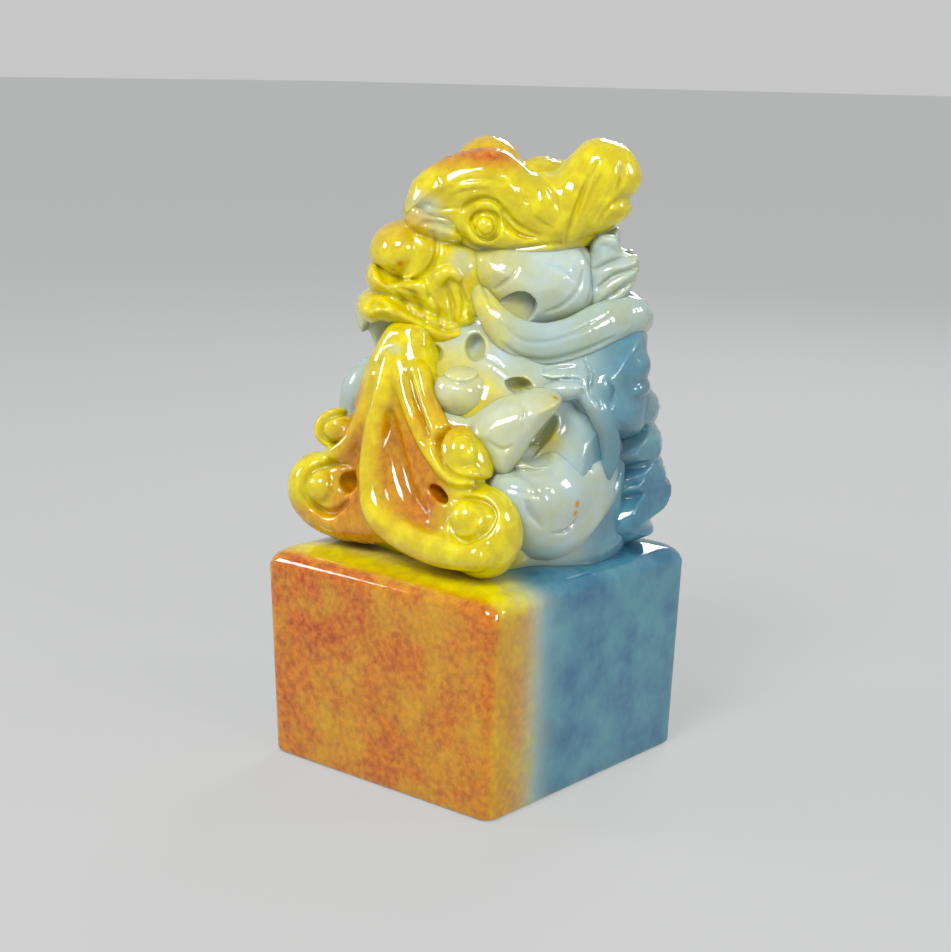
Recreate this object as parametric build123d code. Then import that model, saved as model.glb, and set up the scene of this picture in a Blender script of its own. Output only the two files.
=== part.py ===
from build123d import *
import os
from math import cos, hypot, pi, radians, sin, tan

# A desk seal cut from one piece of jade: a square block to hold and print with, and a guardian
# beast carved on top of it. Every carved form is a solid of its own that meets its neighbours
# face to face, because the real stone has no gaps between them.
# Millimetres, +Z up. The origin is the middle of the printing face, which lies on Z = 0.
# -Y is the side with the plume, +X the side with the near haunch.

# Block
block_width = 24.0
block_depth = 25.2
block_height = 17.4
block_taper = 1.3
corner_radius = 1.05
crown_rise = 1.1
crown_inset = 2.9
arris_radius = 0.9
foot_radius = 0.35
roll_angle = 60.0
roll_steps = 2

# Beast: its length runs along the block's diagonal and its forms keep inside the block's sides
corner_margin = 9.8
side_margin = 4.6
beast_height = 32.6
beast_turn = 40.0
beast_length = hypot(block_width, block_depth) - corner_margin
beast_width = (block_width + block_depth) / 2 - side_margin

# Trunk of the beast
torso_margin = 2.3
torso_corner_radius = 5.0
torso_top_inset = 3.0
chest_radius = 6.3
chest_draft_angle = 4.0
neck_length = 12.0
neck_width = 7.0
neck_corner_radius = 2.4
mane_radius = 3.9
mane_width = 11.4

# Head
skull_radius = 4.6
skull_width = 6.4
brow_radius = 2.4
brow_width = 1.6
eye_radius = 1.05
eye_width = 1.5
nose_radius = 2.4
nose_width = 5.4
lip_radius = 2.6
lip_width = 7.0
jaw_radius = 1.7
jaw_width = 5.8
cheek_radius = 3.5
cheek_width = 2.0
hollow_radius = 1.5
hollow_depth = 2.2
horn_radius = 2.0
horn_width = 4.6
fin_width = 1.4
beard_width = 1.8
whisker_radius = 1.4
whisker_width = 2.4

# Legs
haunch_radius = 3.8
haunch_width = 4.8
haunch_clearance = 0.2
foot_radius_of_leg = 2.3
foot_width = 5.6
foot_clearance = 1.6
foreleg_radius = 1.6
foreleg_width = 3.4
paw_radius = 1.8
paw_width = 3.2
pearl_radius = 2.15
pearl_flats = 6

# Back
lobe_radius = 3.1
lobe_width = 9.4

# Plume on the -Y side
plume_lean = 13.0
plume_setback = 1.0
plume_margin = 3.4
plume_thickness = 5.0
rib_rise = 0.9
scroll_radius = 2.75
scroll_rise = 1.3
scroll_sink = 0.8
scroll_depth = 2.6
pierced_radius = 1.2

# Rounds that an outline is drawn about, seen from the near side: shares of the beast's length
# (back from the block's axis), of its height above the block and of the form's own radius
skull_rounds_shares = ((-0.105, 0.847, 0.70), (0.06, 0.84, 0.92), (0.24, 0.76, 0.80), (0.26, 0.67, 0.75), (0.08, 0.71, 0.87))
brow_rounds_shares = ((-0.16, 0.887, 0.80), (-0.01, 0.908, 1.0), (0.135, 0.883, 0.70))
horn_stem_shares = ((0.185, 0.853, 0.90), (0.33, 0.91, 1.0))
horn_lobe_shares = ((0.36, 0.940, 1.0), (0.405, 0.89, 0.85), (0.365, 0.845, 0.95))
cheek_rounds_shares = ((0.045, 0.70, 0.68), (0.235, 0.672, 1.0))
nose_rounds_shares = ((-0.26, 0.733, 1.0), (-0.17, 0.725, 0.9))
lip_rounds_shares = ((-0.295, 0.663, 0.77), (-0.145, 0.675, 1.0), (-0.08, 0.59, 0.70))
jaw_rounds_shares = ((-0.325, 0.56, 0.85), (-0.095, 0.55, 1.0))
mane_rounds_shares = ((0.16, 0.47, 0.87), (0.385, 0.46, 1.0))
whisker_rounds_shares = ((-0.068, 0.727, 0.70), (-0.03, 0.638, 0.78), (0.07, 0.567, 0.80), (0.235, 0.546, 0.85),
                         (0.41, 0.575, 1.05))
near_foreleg_shares = ((0.175, 0.385, 1.0), (0.055, 0.355, 0.95), (-0.035, 0.352, 0.8))
far_foreleg_shares = ((0.0, 0.415, 1.3), (-0.37, 0.39, 1.3), (-0.37, 0.14, 1.05))

# Corners of the thin locks, as shares of the beast's length and height
fin_corner_shares = ((0.30, 0.775), (0.41, 0.77), (0.425, 0.745), (0.475, 0.74), (0.47, 0.69), (0.445, 0.65),
                     (0.46, 0.615), (0.30, 0.60))
beard_corner_shares = ((-0.18, 0.58), (-0.40, 0.59), (-0.425, 0.56), (-0.40, 0.53), (-0.36, 0.52),
                       (-0.35, 0.475), (-0.31, 0.455), (-0.18, 0.46))

# Places on the beast: shares of its length, of its width (minus is the near side) and of its
# height. A back lobe adds a share of the lobes' radius.
torso_height_share = 0.52
chest_place_share = -0.16
neck_place_share = 0.09
neck_height_share = 0.25
eye_share = (-0.005, -0.16, 0.80)
torso_place_shares = (0.02, 0.03)
hollow_share = (0.10, -0.27, 0.61)
pearl_share = (-0.065, -0.32, 0.425)
near_paw_share = (-0.055, -0.28, 0.345)
far_paw_share = (-0.385, 0.12, 0.075)
back_lobe_shares = ((0.425, 0.45, 0.9), (0.45, 0.355, 0.95), (0.465, 0.25, 1.0), (0.475, 0.13, 1.06))
far_horn_shift_shares = (-0.16, -0.05)

# Where each relief's inner side lies, as a share of the beast's width
brow_seat_share = 0.16
horn_seat_share = 0.02
cheek_seat_share = 0.16
fin_seat_share = 0.10
whisker_seat_share = 0.16
foreleg_seat_share = 0.29
far_foreleg_seat_share = 0.10
beard_seat_share = 0.05
lobe_seat_share = -0.04
mane_seat_share = 0.03

# Rounds of the haunch and the hind foot: shares of the block's side that they stand on, of the
# beast's height and of their radius
haunch_rounds_shares = ((-0.16, 0.205, 0.82), (-0.05, 0.215, 1.0))
foot_rounds_shares = ((-0.27, 0.105, 0.9), (-0.20, 0.105, 1.0))

# How a form rounds off: its straight part as a share of its width, then the angle of its bevel.
# A full form rounds off in more steps, each with its share of the width and its angle.
straight_share = 0.5
bevel_angle = 40.0
dome_steps_shares = ((0.40, 0.0), (0.36, 24.0), (0.24, 55.0))
flats = 16
least_turn_share = 0.03

# Plume: its half width at rising levels, where its ribs and valleys run, and its curls
plume_height_share = 0.503
plume_level_shares = ((0.04, 1.0), (0.60, 0.48), (1.0, 0.30))
rib_run_shares = ((-0.68, 1.0), (-0.38, 0.0), (-0.06, 1.0), (0.28, 0.0), (0.68, 1.0))
scroll_shares = {
    "plume_scroll_low_left": (-1.02, 0.27, 0.95),
    "plume_scroll_high_left": (-0.80, 0.55, 0.80),
    "plume_scroll_low_right": (1.00, 0.26, 1.05),
    "plume_scroll_high_right": (0.78, 0.53, 0.86),
}
scroll_run_shares = (1.0, 0.80, 0.66, 0.46, 0.28)
groove_share = 0.4
pierced_shares = ((-0.47, 0.33), (0.60, 0.33))


def spot(along, across, up):
    """A point of the beast, in its own frame, from shares of its length, width and height."""
    return Vector(along * beast_length, across * beast_width, block_height + up * beast_height)


def hull(rounds):
    """The outline stretched round a few circles, each of them cut in flats."""
    turns = [2 * pi * step / flats for step in range(flats)]
    corners = sorted((across + radius * cos(turn), up + radius * sin(turn))
                     for across, up, radius in rounds for turn in turns)
    outline = outer_side(corners) + outer_side(corners[::-1])
    return make_face(Polyline(*outline, close=True))


def outer_side(corners):
    """The corners that a string pulled tight along one side would touch, without the last."""
    side = []
    for corner in corners:
        while len(side) > 1 and turn_share(side[-2], side[-1], corner) < least_turn_share:
            side.pop()
        side.append(corner)
    return side[:-1]


def turn_share(first, second, third):
    """How far a path turns left at its second corner: the sine of the turn."""
    (x1, y1), (x2, y2), (x3, y3) = first, second, third
    cross = (x2 - x1) * (y3 - y1) - (y2 - y1) * (x3 - x1)
    return cross / (hypot(x2 - x1, y2 - y1) * hypot(x3 - x1, y3 - y1))


def bevelled(outline, width):
    """A solid that stands on an outline, straight at first and then drawn in."""
    straight = width * straight_share
    cap = extrude(Pos(0, 0, straight) * outline, amount=width - straight, taper=bevel_angle)
    return extrude(outline, amount=straight) + cap


def domed(outline, width):
    """A full solid that stands on an outline and rounds off in steps."""
    form = None
    face = outline
    for share, angle in dome_steps_shares:
        step = extrude(face, amount=width * share, taper=angle)
        face = step.faces().sort_by(Axis.Z)[-1]
        form = step if form is None else form + step
    return form


def in_side_view(shares, radius):
    """Rounds in the beast's side view, in real sizes."""
    return [(along * beast_length, block_height + up * beast_height, radius * size) for along, up, size in shares]


def on_side(form, seat):
    """Stands a form made on XY out from the beast's near side, at a distance from its middle."""
    return Plane.XZ.offset(seat) * form


def relief(shares, radius, width, seat_share):
    """A full form with one rounded outline, standing out from the beast's near side."""
    return on_side(bevelled(hull(in_side_view(shares, radius)), width), seat_share * beast_width)


def limb(shares, radius, width, seat_share):
    """A bent form: rounded links from each place to the next."""
    rounds = in_side_view(shares, radius)
    form = bevelled(hull(rounds[:2]), width)
    for pair in zip(rounds[1:], rounds[2:]):
        form += bevelled(hull(pair), width)
    return on_side(form, seat_share * beast_width)


def bulk(shares, radius, width, seat_share=0.0):
    """A form that lies across the beast, rounded off on both sides."""
    half = domed(hull(in_side_view(shares, radius)), width / 2)
    return on_side(half + mirror(half, about=Plane.XY), seat_share * beast_width)


def slab(shares, radius, width):
    """A flat-sided form across the beast's middle, for others to stand out from."""
    return on_side(extrude(hull(in_side_view(shares, radius)), amount=width / 2, both=True), 0)


def lock(shares, width, seat_share):
    """A thin lock of hair with a pointed outline."""
    corners = [(along * beast_length, block_height + up * beast_height) for along, up in shares]
    return on_side(extrude(make_face(Polyline(*corners, close=True)), amount=width), seat_share * beast_width)


def cushion(length, width, radius):
    """A rectangle on XY with corners rounded in flats."""
    along, across = length / 2 - radius, width / 2 - radius
    return hull([(along * x, across * y, radius) for x in (-1, 1) for y in (-1, 1)])


def torso():
    """The trunk: a pillar with rounded corners that keeps to the sides of the block and narrows upwards."""
    across, along = torso_place_shares
    plans = []
    for rise, inset in ((0, torso_margin), (torso_height_share * beast_height, torso_margin + torso_top_inset)):
        plan = cushion(block_width - 2 * inset, block_depth - 2 * inset, torso_corner_radius)
        plans.append(Pos(across * block_width, along * block_depth, block_height + rise) * plan)
    return loft(plans, ruled=True)


def chest():
    """The chest: a pillar of flats in front of the trunk."""
    foot = Pos(*spot(chest_place_share, 0, 0)) * RegularPolygon(chest_radius, flats)
    return extrude(foot, amount=torso_height_share * beast_height, taper=chest_draft_angle)


def neck():
    """The neck: a short pillar between the trunk and the skull."""
    base = Pos(*spot(neck_place_share, 0, torso_height_share))
    return extrude(base * cushion(neck_length, neck_width, neck_corner_radius), amount=neck_height_share * beast_height)


def far(form):
    """The same form on the beast's far side."""
    return mirror(form, about=Plane.XZ)


def on_block(form):
    """Turns a form from the beast's frame to the block's."""
    return Rot(0, 0, beast_turn) * form


def turned_on_block(forms):
    """Turns a group of forms from the beast's frame to the block's."""
    return {name: on_block(form) for name, form in forms.items()}


def seal_block():
    """The block: sides that flare a little upwards, rolled top edges and a low pillowed crown."""
    flare = block_height * tan(radians(block_taper))
    heights_and_insets = [(0, flare + foot_radius), (foot_radius, flare)]
    roll_base = block_height - arris_radius
    for step in range(roll_steps + 1):
        turned = radians(roll_angle) * step / roll_steps
        heights_and_insets.append((roll_base + arris_radius * sin(turned), arris_radius * (1 - cos(turned))))
    heights_and_insets.append((block_height + crown_rise, crown_inset))
    rings = []
    for height, inset in heights_and_insets:
        plan = RectangleRounded(block_width - 2 * inset, block_depth - 2 * inset, corner_radius)
        rings.append(Pos(0, 0, height) * plan)
    return loft(rings, ruled=True)


def side_relief(shares, radius, width, side, side_length):
    """A full form whose outer face lies at a distance from the block's axis, made on the +X side."""
    rounds = [(along * side_length, block_height + up * beast_height, radius * size) for along, up, size in shares]
    seat = Plane((side - width, 0, 0), x_dir=(0, 1, 0), z_dir=(1, 0, 0))
    return seat * domed(hull(rounds), width)


def near_side(form):
    """Turns a form made on the +X side into the beast's frame."""
    return Rot(0, 0, -beast_turn) * form


def far_side(form):
    """Turns a form made on the +X side to the +Y side, then into the beast's frame."""
    return near_side(Rot(0, 0, 90) * mirror(form, about=Plane.XZ))


def button(place, radius, width):
    """A low round form that stands out from the near side at a place."""
    along, across, up = place
    disc = Pos(along * beast_length, block_height + up * beast_height) * Circle(radius)
    return on_side(bevelled(disc, width), -across * beast_width)


def cheek():
    """A full cheek with a deep round hollow low down at its front."""
    outline = hull(in_side_view(cheek_rounds_shares, cheek_radius))
    form = on_side(domed(outline, cheek_width), cheek_seat_share * beast_width)
    mouth = Plane(spot(*hollow_share), z_dir=(0, -1, 0))
    return form - mouth * Cylinder(hollow_radius, 2 * hollow_depth)


def horn(stem, lobes):
    """A horn that sweeps back and ends in round lobes."""
    form = relief(stem, horn_radius, horn_width, horn_seat_share)
    for lobe in lobes:
        form += relief((lobe,), horn_radius, horn_width, horn_seat_share)
    return form


def plume_half_width():
    """Half the width of the plume's foot, which keeps inside the block's sides."""
    return block_width / 2 - plume_margin


def plume_plane():
    """The plane of the plume: leaning back on the beast, with x across it, y up it and z outwards."""
    lean = radians(plume_lean)
    base = Vector(0, plume_setback - block_depth / 2, block_height)
    return Plane(base, x_dir=(1, 0, 0), z_dir=(0, -cos(lean), sin(lean)))


def plume_web():
    """The web of the plume: narrow at its stem, flared to its foot, pleated and pierced twice."""
    levels = []
    for up, half_width_share in plume_level_shares:
        half_width = plume_half_width() * half_width_share
        rise, back = rib_rise * half_width_share, -plume_thickness * half_width_share
        front = [(run * half_width, ridge * rise) for run, ridge in rib_run_shares]
        section = [(-half_width, 0), *front, (half_width, 0), (half_width, back), (-half_width, back)]
        points = [(across, up * plume_height_share * beast_height, out) for across, out in section]
        levels.append(make_face(Polyline(*points, close=True)))
    web = loft(levels, ruled=True)
    for across, up in pierced_shares:
        centre = Pos(across * plume_half_width(), up * plume_height_share * beast_height, 0)
        web -= centre * Cylinder(pierced_radius, 4 * plume_thickness)
    return plume_plane() * web


def plume_scroll(across, up, size):
    """A curl at the plume's edge: a raised rim round a groove, with a button in its middle."""
    radius = scroll_radius * size
    rings = [RegularPolygon(run * radius, flats) for run in scroll_run_shares]
    rim, crest, groove, button_foot, button_top = rings
    floor = scroll_rise * groove_share
    form = extrude(rim, amount=-scroll_depth)
    form += loft([rim, Pos(0, 0, scroll_rise) * crest], ruled=True)
    form -= loft([Pos(0, 0, floor) * button_foot, Pos(0, 0, scroll_rise) * groove], ruled=True)
    form += loft([Pos(0, 0, floor) * button_foot, Pos(0, 0, scroll_rise) * button_top], ruled=True)
    return plume_plane() * Pos(across * plume_half_width(), up * plume_height_share * beast_height, -scroll_sink) * form


def pearl():
    """A ball, turned in flats from pole to pole."""
    turns = [pi * step / pearl_flats - pi / 2 for step in range(pearl_flats + 1)]
    sides = [(pearl_radius * cos(turn), pearl_radius * sin(turn)) for turn in turns[1:-1]]
    profile = Polyline((0, -pearl_radius), *sides, (0, pearl_radius), close=True)
    return Pos(*spot(*pearl_share)) * revolve(Plane.XZ * make_face(profile), axis=Axis.Z)


def shifted(shares):
    """Rounds moved from the near horn's place to the far one's."""
    back, down = far_horn_shift_shares
    return tuple((along + back, up + down, size) for along, up, size in shares)


def trunk_forms():
    """The beast's trunk, from the block up."""
    return {
        "neck": neck(),
        "skull": slab(skull_rounds_shares, skull_radius, skull_width),
    }


def head_forms():
    """What is carved on and in front of the skull."""
    eye = button(eye_share, eye_radius, eye_width)
    brow = limb(brow_rounds_shares, brow_radius, brow_width, brow_seat_share)
    whisker = limb(whisker_rounds_shares, whisker_radius, whisker_width, whisker_seat_share)
    fin = lock(fin_corner_shares, fin_width, fin_seat_share)
    return {
        "nose": bulk(nose_rounds_shares, nose_radius, nose_width),
        "lower_jaw": bulk(jaw_rounds_shares, jaw_radius, jaw_width),
        "upper_lip": bulk(lip_rounds_shares, lip_radius, lip_width),
        "near_brow": brow,
        "far_brow": far(brow),
        "near_eye": eye,
        "far_eye": far(eye),
        "near_horn": horn(horn_stem_shares, horn_lobe_shares),
        "far_horn": far(horn(shifted(horn_stem_shares), shifted(horn_lobe_shares))),
        "near_whisker": whisker,
        "far_whisker": far(whisker),
        "near_cheek": cheek(),
        "far_cheek": far(cheek()),
        "near_mane_fin": fin,
        "far_mane_fin": far(fin),
        "beard": far(lock(beard_corner_shares, beard_width, beard_seat_share)),
    }


def limb_forms():
    """The legs, and the pearl under the near forepaw."""
    half_width, half_depth = block_width / 2, block_depth / 2
    haunch = (haunch_rounds_shares, haunch_radius, haunch_width)
    foot = (foot_rounds_shares, foot_radius_of_leg, foot_width)
    return {
        "pearl": pearl(),
        "near_haunch": near_side(side_relief(*haunch, half_width - haunch_clearance, block_depth)),
        "far_haunch": far_side(side_relief(*haunch, half_depth - haunch_clearance, block_width)),
        "near_hind_foot": near_side(side_relief(*foot, half_width - foot_clearance, block_depth)),
        "far_hind_foot": far_side(side_relief(*foot, half_depth - foot_clearance, block_width)),
        "near_forepaw": button(near_paw_share, paw_radius, paw_width),
        "near_foreleg": limb(near_foreleg_shares, foreleg_radius, foreleg_width, foreleg_seat_share),
        "far_forepaw": far(button([far_paw_share[0], -far_paw_share[1], far_paw_share[2]], paw_radius, paw_width)),
        "far_foreleg": far(limb(far_foreleg_shares, foreleg_radius, foreleg_width, far_foreleg_seat_share)),
    }


def back_forms():
    """The mane over the shoulders and the lobes down the back."""
    forms = {"mane": bulk(mane_rounds_shares, mane_radius, mane_width, mane_seat_share)}
    for number, place in enumerate(back_lobe_shares, start=1):
        forms[f"back_lobe_{number}"] = bulk((place,), lobe_radius, lobe_width, lobe_seat_share)
    return forms


def touches(box, other):
    """Whether two bounding boxes overlap."""
    near = all(low <= high for low, high in zip(box.min, other.max))
    return near and all(low <= high for low, high in zip(other.min, box.max))


def fitted(forms):
    """Cuts each form back to the forms before it, so that neighbours meet face to face."""
    placed = {}
    for name, form in forms.items():
        box = form.bounding_box()
        for other in placed.values():
            if touches(box, other.bounding_box()):
                form = form - other
        placed[name] = max(form.solids(), key=lambda solid: solid.volume)
    return placed


def seal():
    """Every form of the seal. The torso is cut to the forms before it, the others to the torso."""
    forms = {"seal_block": seal_block(), "chest": on_block(chest()), "plume_web": plume_web()}
    forms.update(turned_on_block(limb_forms()))
    forms["torso"] = torso()
    for group in (trunk_forms(), head_forms(), back_forms()):
        forms.update(turned_on_block(group))
    for name, place in scroll_shares.items():
        forms[name] = plume_scroll(*place)
    return fitted(forms)


os.makedirs("parts", exist_ok=True)
for node, solid in seal().items():
    solid.label = node
    export_step(solid, f"parts/{node}.step")
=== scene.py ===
"""Looks for a carved jade desk seal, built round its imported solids.

Each carved form is shaped in a block of points in memory, much as a carver works: forms are added
and blended, hollows are cut and lines are engraved, and then the surface is meshed. Most forms are
placed by the pixel where the photograph shows them and by how far out from the stone's axis they
lie. Sizes in this file are millimetres unless a name says otherwise; Blender gets metres.
"""

import math

import bpy
import numpy as np
from mathutils import Matrix, Vector

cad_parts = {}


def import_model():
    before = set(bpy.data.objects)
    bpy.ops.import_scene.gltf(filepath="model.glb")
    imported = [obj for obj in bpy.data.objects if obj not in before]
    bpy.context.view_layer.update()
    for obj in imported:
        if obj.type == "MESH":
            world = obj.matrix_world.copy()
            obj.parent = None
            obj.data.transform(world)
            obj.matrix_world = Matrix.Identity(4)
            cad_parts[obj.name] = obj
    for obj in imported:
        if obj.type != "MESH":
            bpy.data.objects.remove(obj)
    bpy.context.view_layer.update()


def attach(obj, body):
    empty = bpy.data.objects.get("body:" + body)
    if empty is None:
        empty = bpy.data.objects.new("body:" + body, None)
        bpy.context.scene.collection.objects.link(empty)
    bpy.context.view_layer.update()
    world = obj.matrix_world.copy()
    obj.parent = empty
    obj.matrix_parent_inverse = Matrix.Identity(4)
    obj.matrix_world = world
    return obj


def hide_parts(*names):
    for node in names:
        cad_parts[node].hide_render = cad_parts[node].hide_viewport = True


bl_info = {
    "name": "Jade seal stamp",
    "version": (1, 0, 0),
    "blender": (4, 5, 0),
    "location": "3D View > Sidebar > Seal",
    "description": "Carves and dresses a jade desk seal with a guardian beast",
    "category": "Object",
}

MM = 0.001
BODY = "root"

# The photograph's camera, in millimetres and degrees, its picture, in pixels, and how near and far
# it sees, in metres
CAMERA_PLACE = (93.498, -112.370, 55.117)
CAMERA_AIM = (-0.296, -0.242, 23.094)
CAMERA_ROLL = 1.081
CAMERA_LENS = 69.86
SENSOR = 36.0
PICTURE_WIDTH, PICTURE_HEIGHT = 951, 952
SIGHT_START, SIGHT_END = 0.01, 10

# The block, the rings of its softened foot (height and inset), the flare of its sides, the rolled
# top edge and the low crown, and how many steps each takes
BLOCK_WIDTH, BLOCK_DEPTH, BLOCK_HEIGHT = 24.0, 25.2, 17.4
FOOT_RINGS = ((0.0, 2.6), (0.0, 0.95), (0.08, 0.62), (0.25, 0.46), (0.5, 0.40))
FLARE = 0.42
ROLL_HEIGHT, ROLL_INSET, ROLL_TURN = 1.4, 1.9, 72
CROWN_RISE, CROWN_START, CROWN_RUN, CROWN_POWER = 1.1, 1.31, 9.9, 2.2
SIDE_CORNER, TOP_CORNER = 1.05, 1.3
FLARE_STEPS, ROLL_STEPS, CROWN_STEPS, CORNER_STEPS, SIDE_STEPS = 14, 10, 12, 8, 26

# Turns of the frames that forms are shaped in, in degrees: seen from the front corner, from the
# side with the plume and from the side with the haunch. The plume leans back from its foot.
SIDE_VIEW, PLUME_VIEW, HAUNCH_VIEW = 40.0, 0.0, 90.0
PLUME_LEAN = 13.0
PLUME_ORIGIN = (0.0, -10.7, 17.4)

# The box that a haunch keeps to and how round its edges are
HAUNCH_LOW, HAUNCH_HIGH, HAUNCH_ROUNDING = (2, -12.2, 16.5), (11.7, 8, 34), 1.2

FAR = 8.0
BEYOND = 99.0
CURVE_STEPS = 5
LEAST_SHARE = 0.05

# Name of the mesh attribute that holds the stone's colour zones, and the shares of yellow skin,
# russet skin and blue body that a piece has where nothing else is said
ZONES = "stone_zones"
ZONE_SHARES = {
    "seal_block": (0, 0, 0), "torso": (0, 0, 0), "mane": (0, 0, 0.3), "back": (0, 0, 0.9),
    "head": (1, 0, 0), "muzzle": (1, 0, 0), "beard": (0.15, 0, 0.1), "plume": (1, 0, 0),
    "near_cheek": (0, 0, 0), "far_cheek": (0, 0, 0), "pearl": (0.3, 0, 0),
    "near_whisker": (0, 0, 0.4), "far_whisker": (0, 0, 0.4),
    "near_mane_fin": (0, 0, 0.25), "far_mane_fin": (0, 0, 0.25),
    "near_foreleg": (0.25, 0, 0), "far_foreleg": (0, 0, 0.3),
    "near_haunch": (0, 0, 0.2), "far_haunch": (0, 0, 0.2),
}

# Small places of another colour, each a pixel, a depth and a radius: rust stains, thin skin that
# lets the pale stone show, and painted shade: an olive tint in holes and hollows where shade falls
RUST_SPOTS = ((577, 504, 9.0, 0.4), (574, 513, 9.0, 0.35), (556, 398, 8.6, 0.35),
              (467, 643, 16.5, 0.8), (400, 262, 3.4, 0.5), (392, 270, 3.0, 0.35))
PALE_SPOTS = ((424, 208, 3.4, 2.0), (440, 228, 3.6, 1.4), (462, 262, 3.4, 1.6),
              (398, 352, 4.0, 1.2))
HOLLOW_SHADE_SPOTS = ((515, 312, 2.6, 2.1), (475, 347, 4.6, 1.5), (432, 355, 4.4, 1.4),
               (520, 386, 6.0, 1.2), (545, 438, 7.4, 2.0))
# The last share is how strongly the painted shade tints the holes and hollows olive
RUST_SHARE, PALE_SHARE, HOLLOW_SHADE_SHARE = 0.9, 0.7, 0.6
SPOT_CORE = 0.3

# The stone's colours, each between a darker and a lighter cloud
PALE_STONE = ("#aab393", "#b2c1c4")
BLUE_STONE = ("#2d6786", "#528c98")
YELLOW_SKIN = ("#c2b002", "#d5c804")
RUSSET_SKIN = ("#982e01", "#cb7202")

# Noise in the stone: turns per millimetre, detail, and the values that count as none and as all
CLOUDS = (0.28, 4, 0.35, 0.68)
GRAIN = (1.9, 7, 0.33, 0.66)
VEINS = (0.7, 8, 0.42, 0.62)
NOISE_ROUGHNESS = 0.6
CLOUDY_BLUE = 0.25
RAGGED_SKIN = 0.5
STAIN_CLOUDS, STAIN_LEAST = 0.45, 0.68

# How jadeite takes light: how far red, green and blue travel in it, and the faint ripple that hand
# polishing leaves
JADEITE_IOR = 1.66
LIGHT_TRAVEL = 1.1
TRAVEL_SHARES = (1.0, 0.75, 0.4)
RIPPLE_SCALE, RIPPLE_DETAIL, RIPPLE_STRENGTH, RIPPLE_HEIGHT = 1.1, 3, 0.35, 0.05

# The lamps' places in metres, their sizes as shares of the lamp size and their watts
LAMP_AIM = (0, 0, 0.025)
LAMPS = (("key", (0.05, -0.20, 0.23), 1.15, 0.78), ("fill", (0.24, -0.05, 0.13), 0.8, 0.22),
         ("left", (-0.20, -0.14, 0.12), 0.8, 0.2), ("rim", (-0.08, 0.22, 0.18), 1.0, 0.26),
         ("right", (0.20, 0.14, 0.14), 0.7, 0.14))

# The floor's side in metres, its colour and the backdrop's, the light from all round, and the share
# of the floor's colour that the eye sees unlit
FLOOR_SIZE = 12.0
BACKDROP = "#c6c7c6"
ROOM_LIGHT = "#7e8286"
CARD_ROUGHNESS = 0.9
UNLIT_SHARE = 0.72


def camera_axes():
    """The camera's place and its right, up and backward directions."""
    place, aim = np.array(CAMERA_PLACE), np.array(CAMERA_AIM)
    back = (place - aim) / np.linalg.norm(place - aim)
    right = np.cross((0, 0, 1), back)
    right /= np.linalg.norm(right)
    up = np.cross(back, right)
    roll = math.radians(CAMERA_ROLL)
    return (place, right * math.cos(roll) + up * math.sin(roll),
            up * math.cos(roll) - right * math.sin(roll), back)


def rays(pixels):
    """The directions in which the camera sees some pixels."""
    _, right, up, back = camera_axes()
    focal = CAMERA_LENS / SENSOR * max(PICTURE_WIDTH, PICTURE_HEIGHT)
    across = (pixels[:, 0] - PICTURE_WIDTH / 2) / focal
    rise = (PICTURE_HEIGHT / 2 - pixels[:, 1]) / focal
    return across[:, None] * right + rise[:, None] * up - back


def beast_axes():
    """The directions from the beast's front to its back and from its middle to its near side."""
    turn = math.radians(SIDE_VIEW)
    along = np.array((math.cos(turn), math.sin(turn), 0))
    return along, np.array((math.sin(turn), -math.cos(turn), 0))


def smooth_min(first, second, blend):
    """The lesser of two distances, rounded where they are within a blend of each other."""
    near = np.maximum(blend - np.abs(first - second), 0) / blend
    return np.minimum(first, second) - near * near * (blend / 4)


def rounded_box(spans, radius):
    """The distance to a box with round edges, from how far points are past each pair of sides."""
    outer = np.sqrt(sum(np.maximum(span, 0) ** 2 for span in spans)) - radius
    inner = np.minimum(np.maximum.reduce(np.broadcast_arrays(*spans)), 0)
    return outer + inner


def rounded(points, closed):
    """A smooth curve through points (Catmull and Rom's), closed or open."""
    points = np.asarray(points, float)
    if closed:
        padded = np.vstack([points[-1:], points, points[:2]])
    else:
        before, after = 2 * points[:1] - points[1:2], 2 * points[-1:] - points[-2:-1]
        padded = np.vstack([before, points, after])
    result = []
    for p0, p1, p2, p3 in zip(padded, padded[1:], padded[2:], padded[3:]):
        for step in range(CURVE_STEPS):
            t = step / CURVE_STEPS
            result.append(0.5 * (2 * p1 + (p2 - p0) * t + (2 * p0 - 5 * p1 + 4 * p2 - p3) * t * t
                                 + (3 * p1 - p0 - 3 * p2 + p3) * t ** 3))
    if not closed:
        result.append(points[-1])
    return np.array(result)


def to_segment(x, y, start, end):
    """How far points lie from a segment in the plane, and where along it they are nearest."""
    run = end - start
    length = max(float(run @ run), 1e-9)
    share = np.clip(((x - start[0]) * run[0] + (y - start[1]) * run[1]) / length, 0, 1)
    return np.hypot(x - start[0] - share * run[0], y - start[1] - share * run[1]), share


def inside_outline(x, y, outline):
    """The distance to a closed outline in the plane, below zero inside it."""
    nearest = np.full(np.broadcast(x, y).shape, BEYOND)
    crossings = np.zeros(nearest.shape, bool)
    for start, end in zip(outline, np.roll(outline, -1, axis=0)):
        nearest = np.minimum(nearest, to_segment(x, y, start, end)[0])
        if start[1] != end[1]:
            spans = (y > min(start[1], end[1])) & (y <= max(start[1], end[1]))
            meets = start[0] + (y - start[1]) * (end[0] - start[0]) / (end[1] - start[1])
            crossings ^= spans & (x < meets)
    return np.where(crossings, -nearest, nearest)


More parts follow.
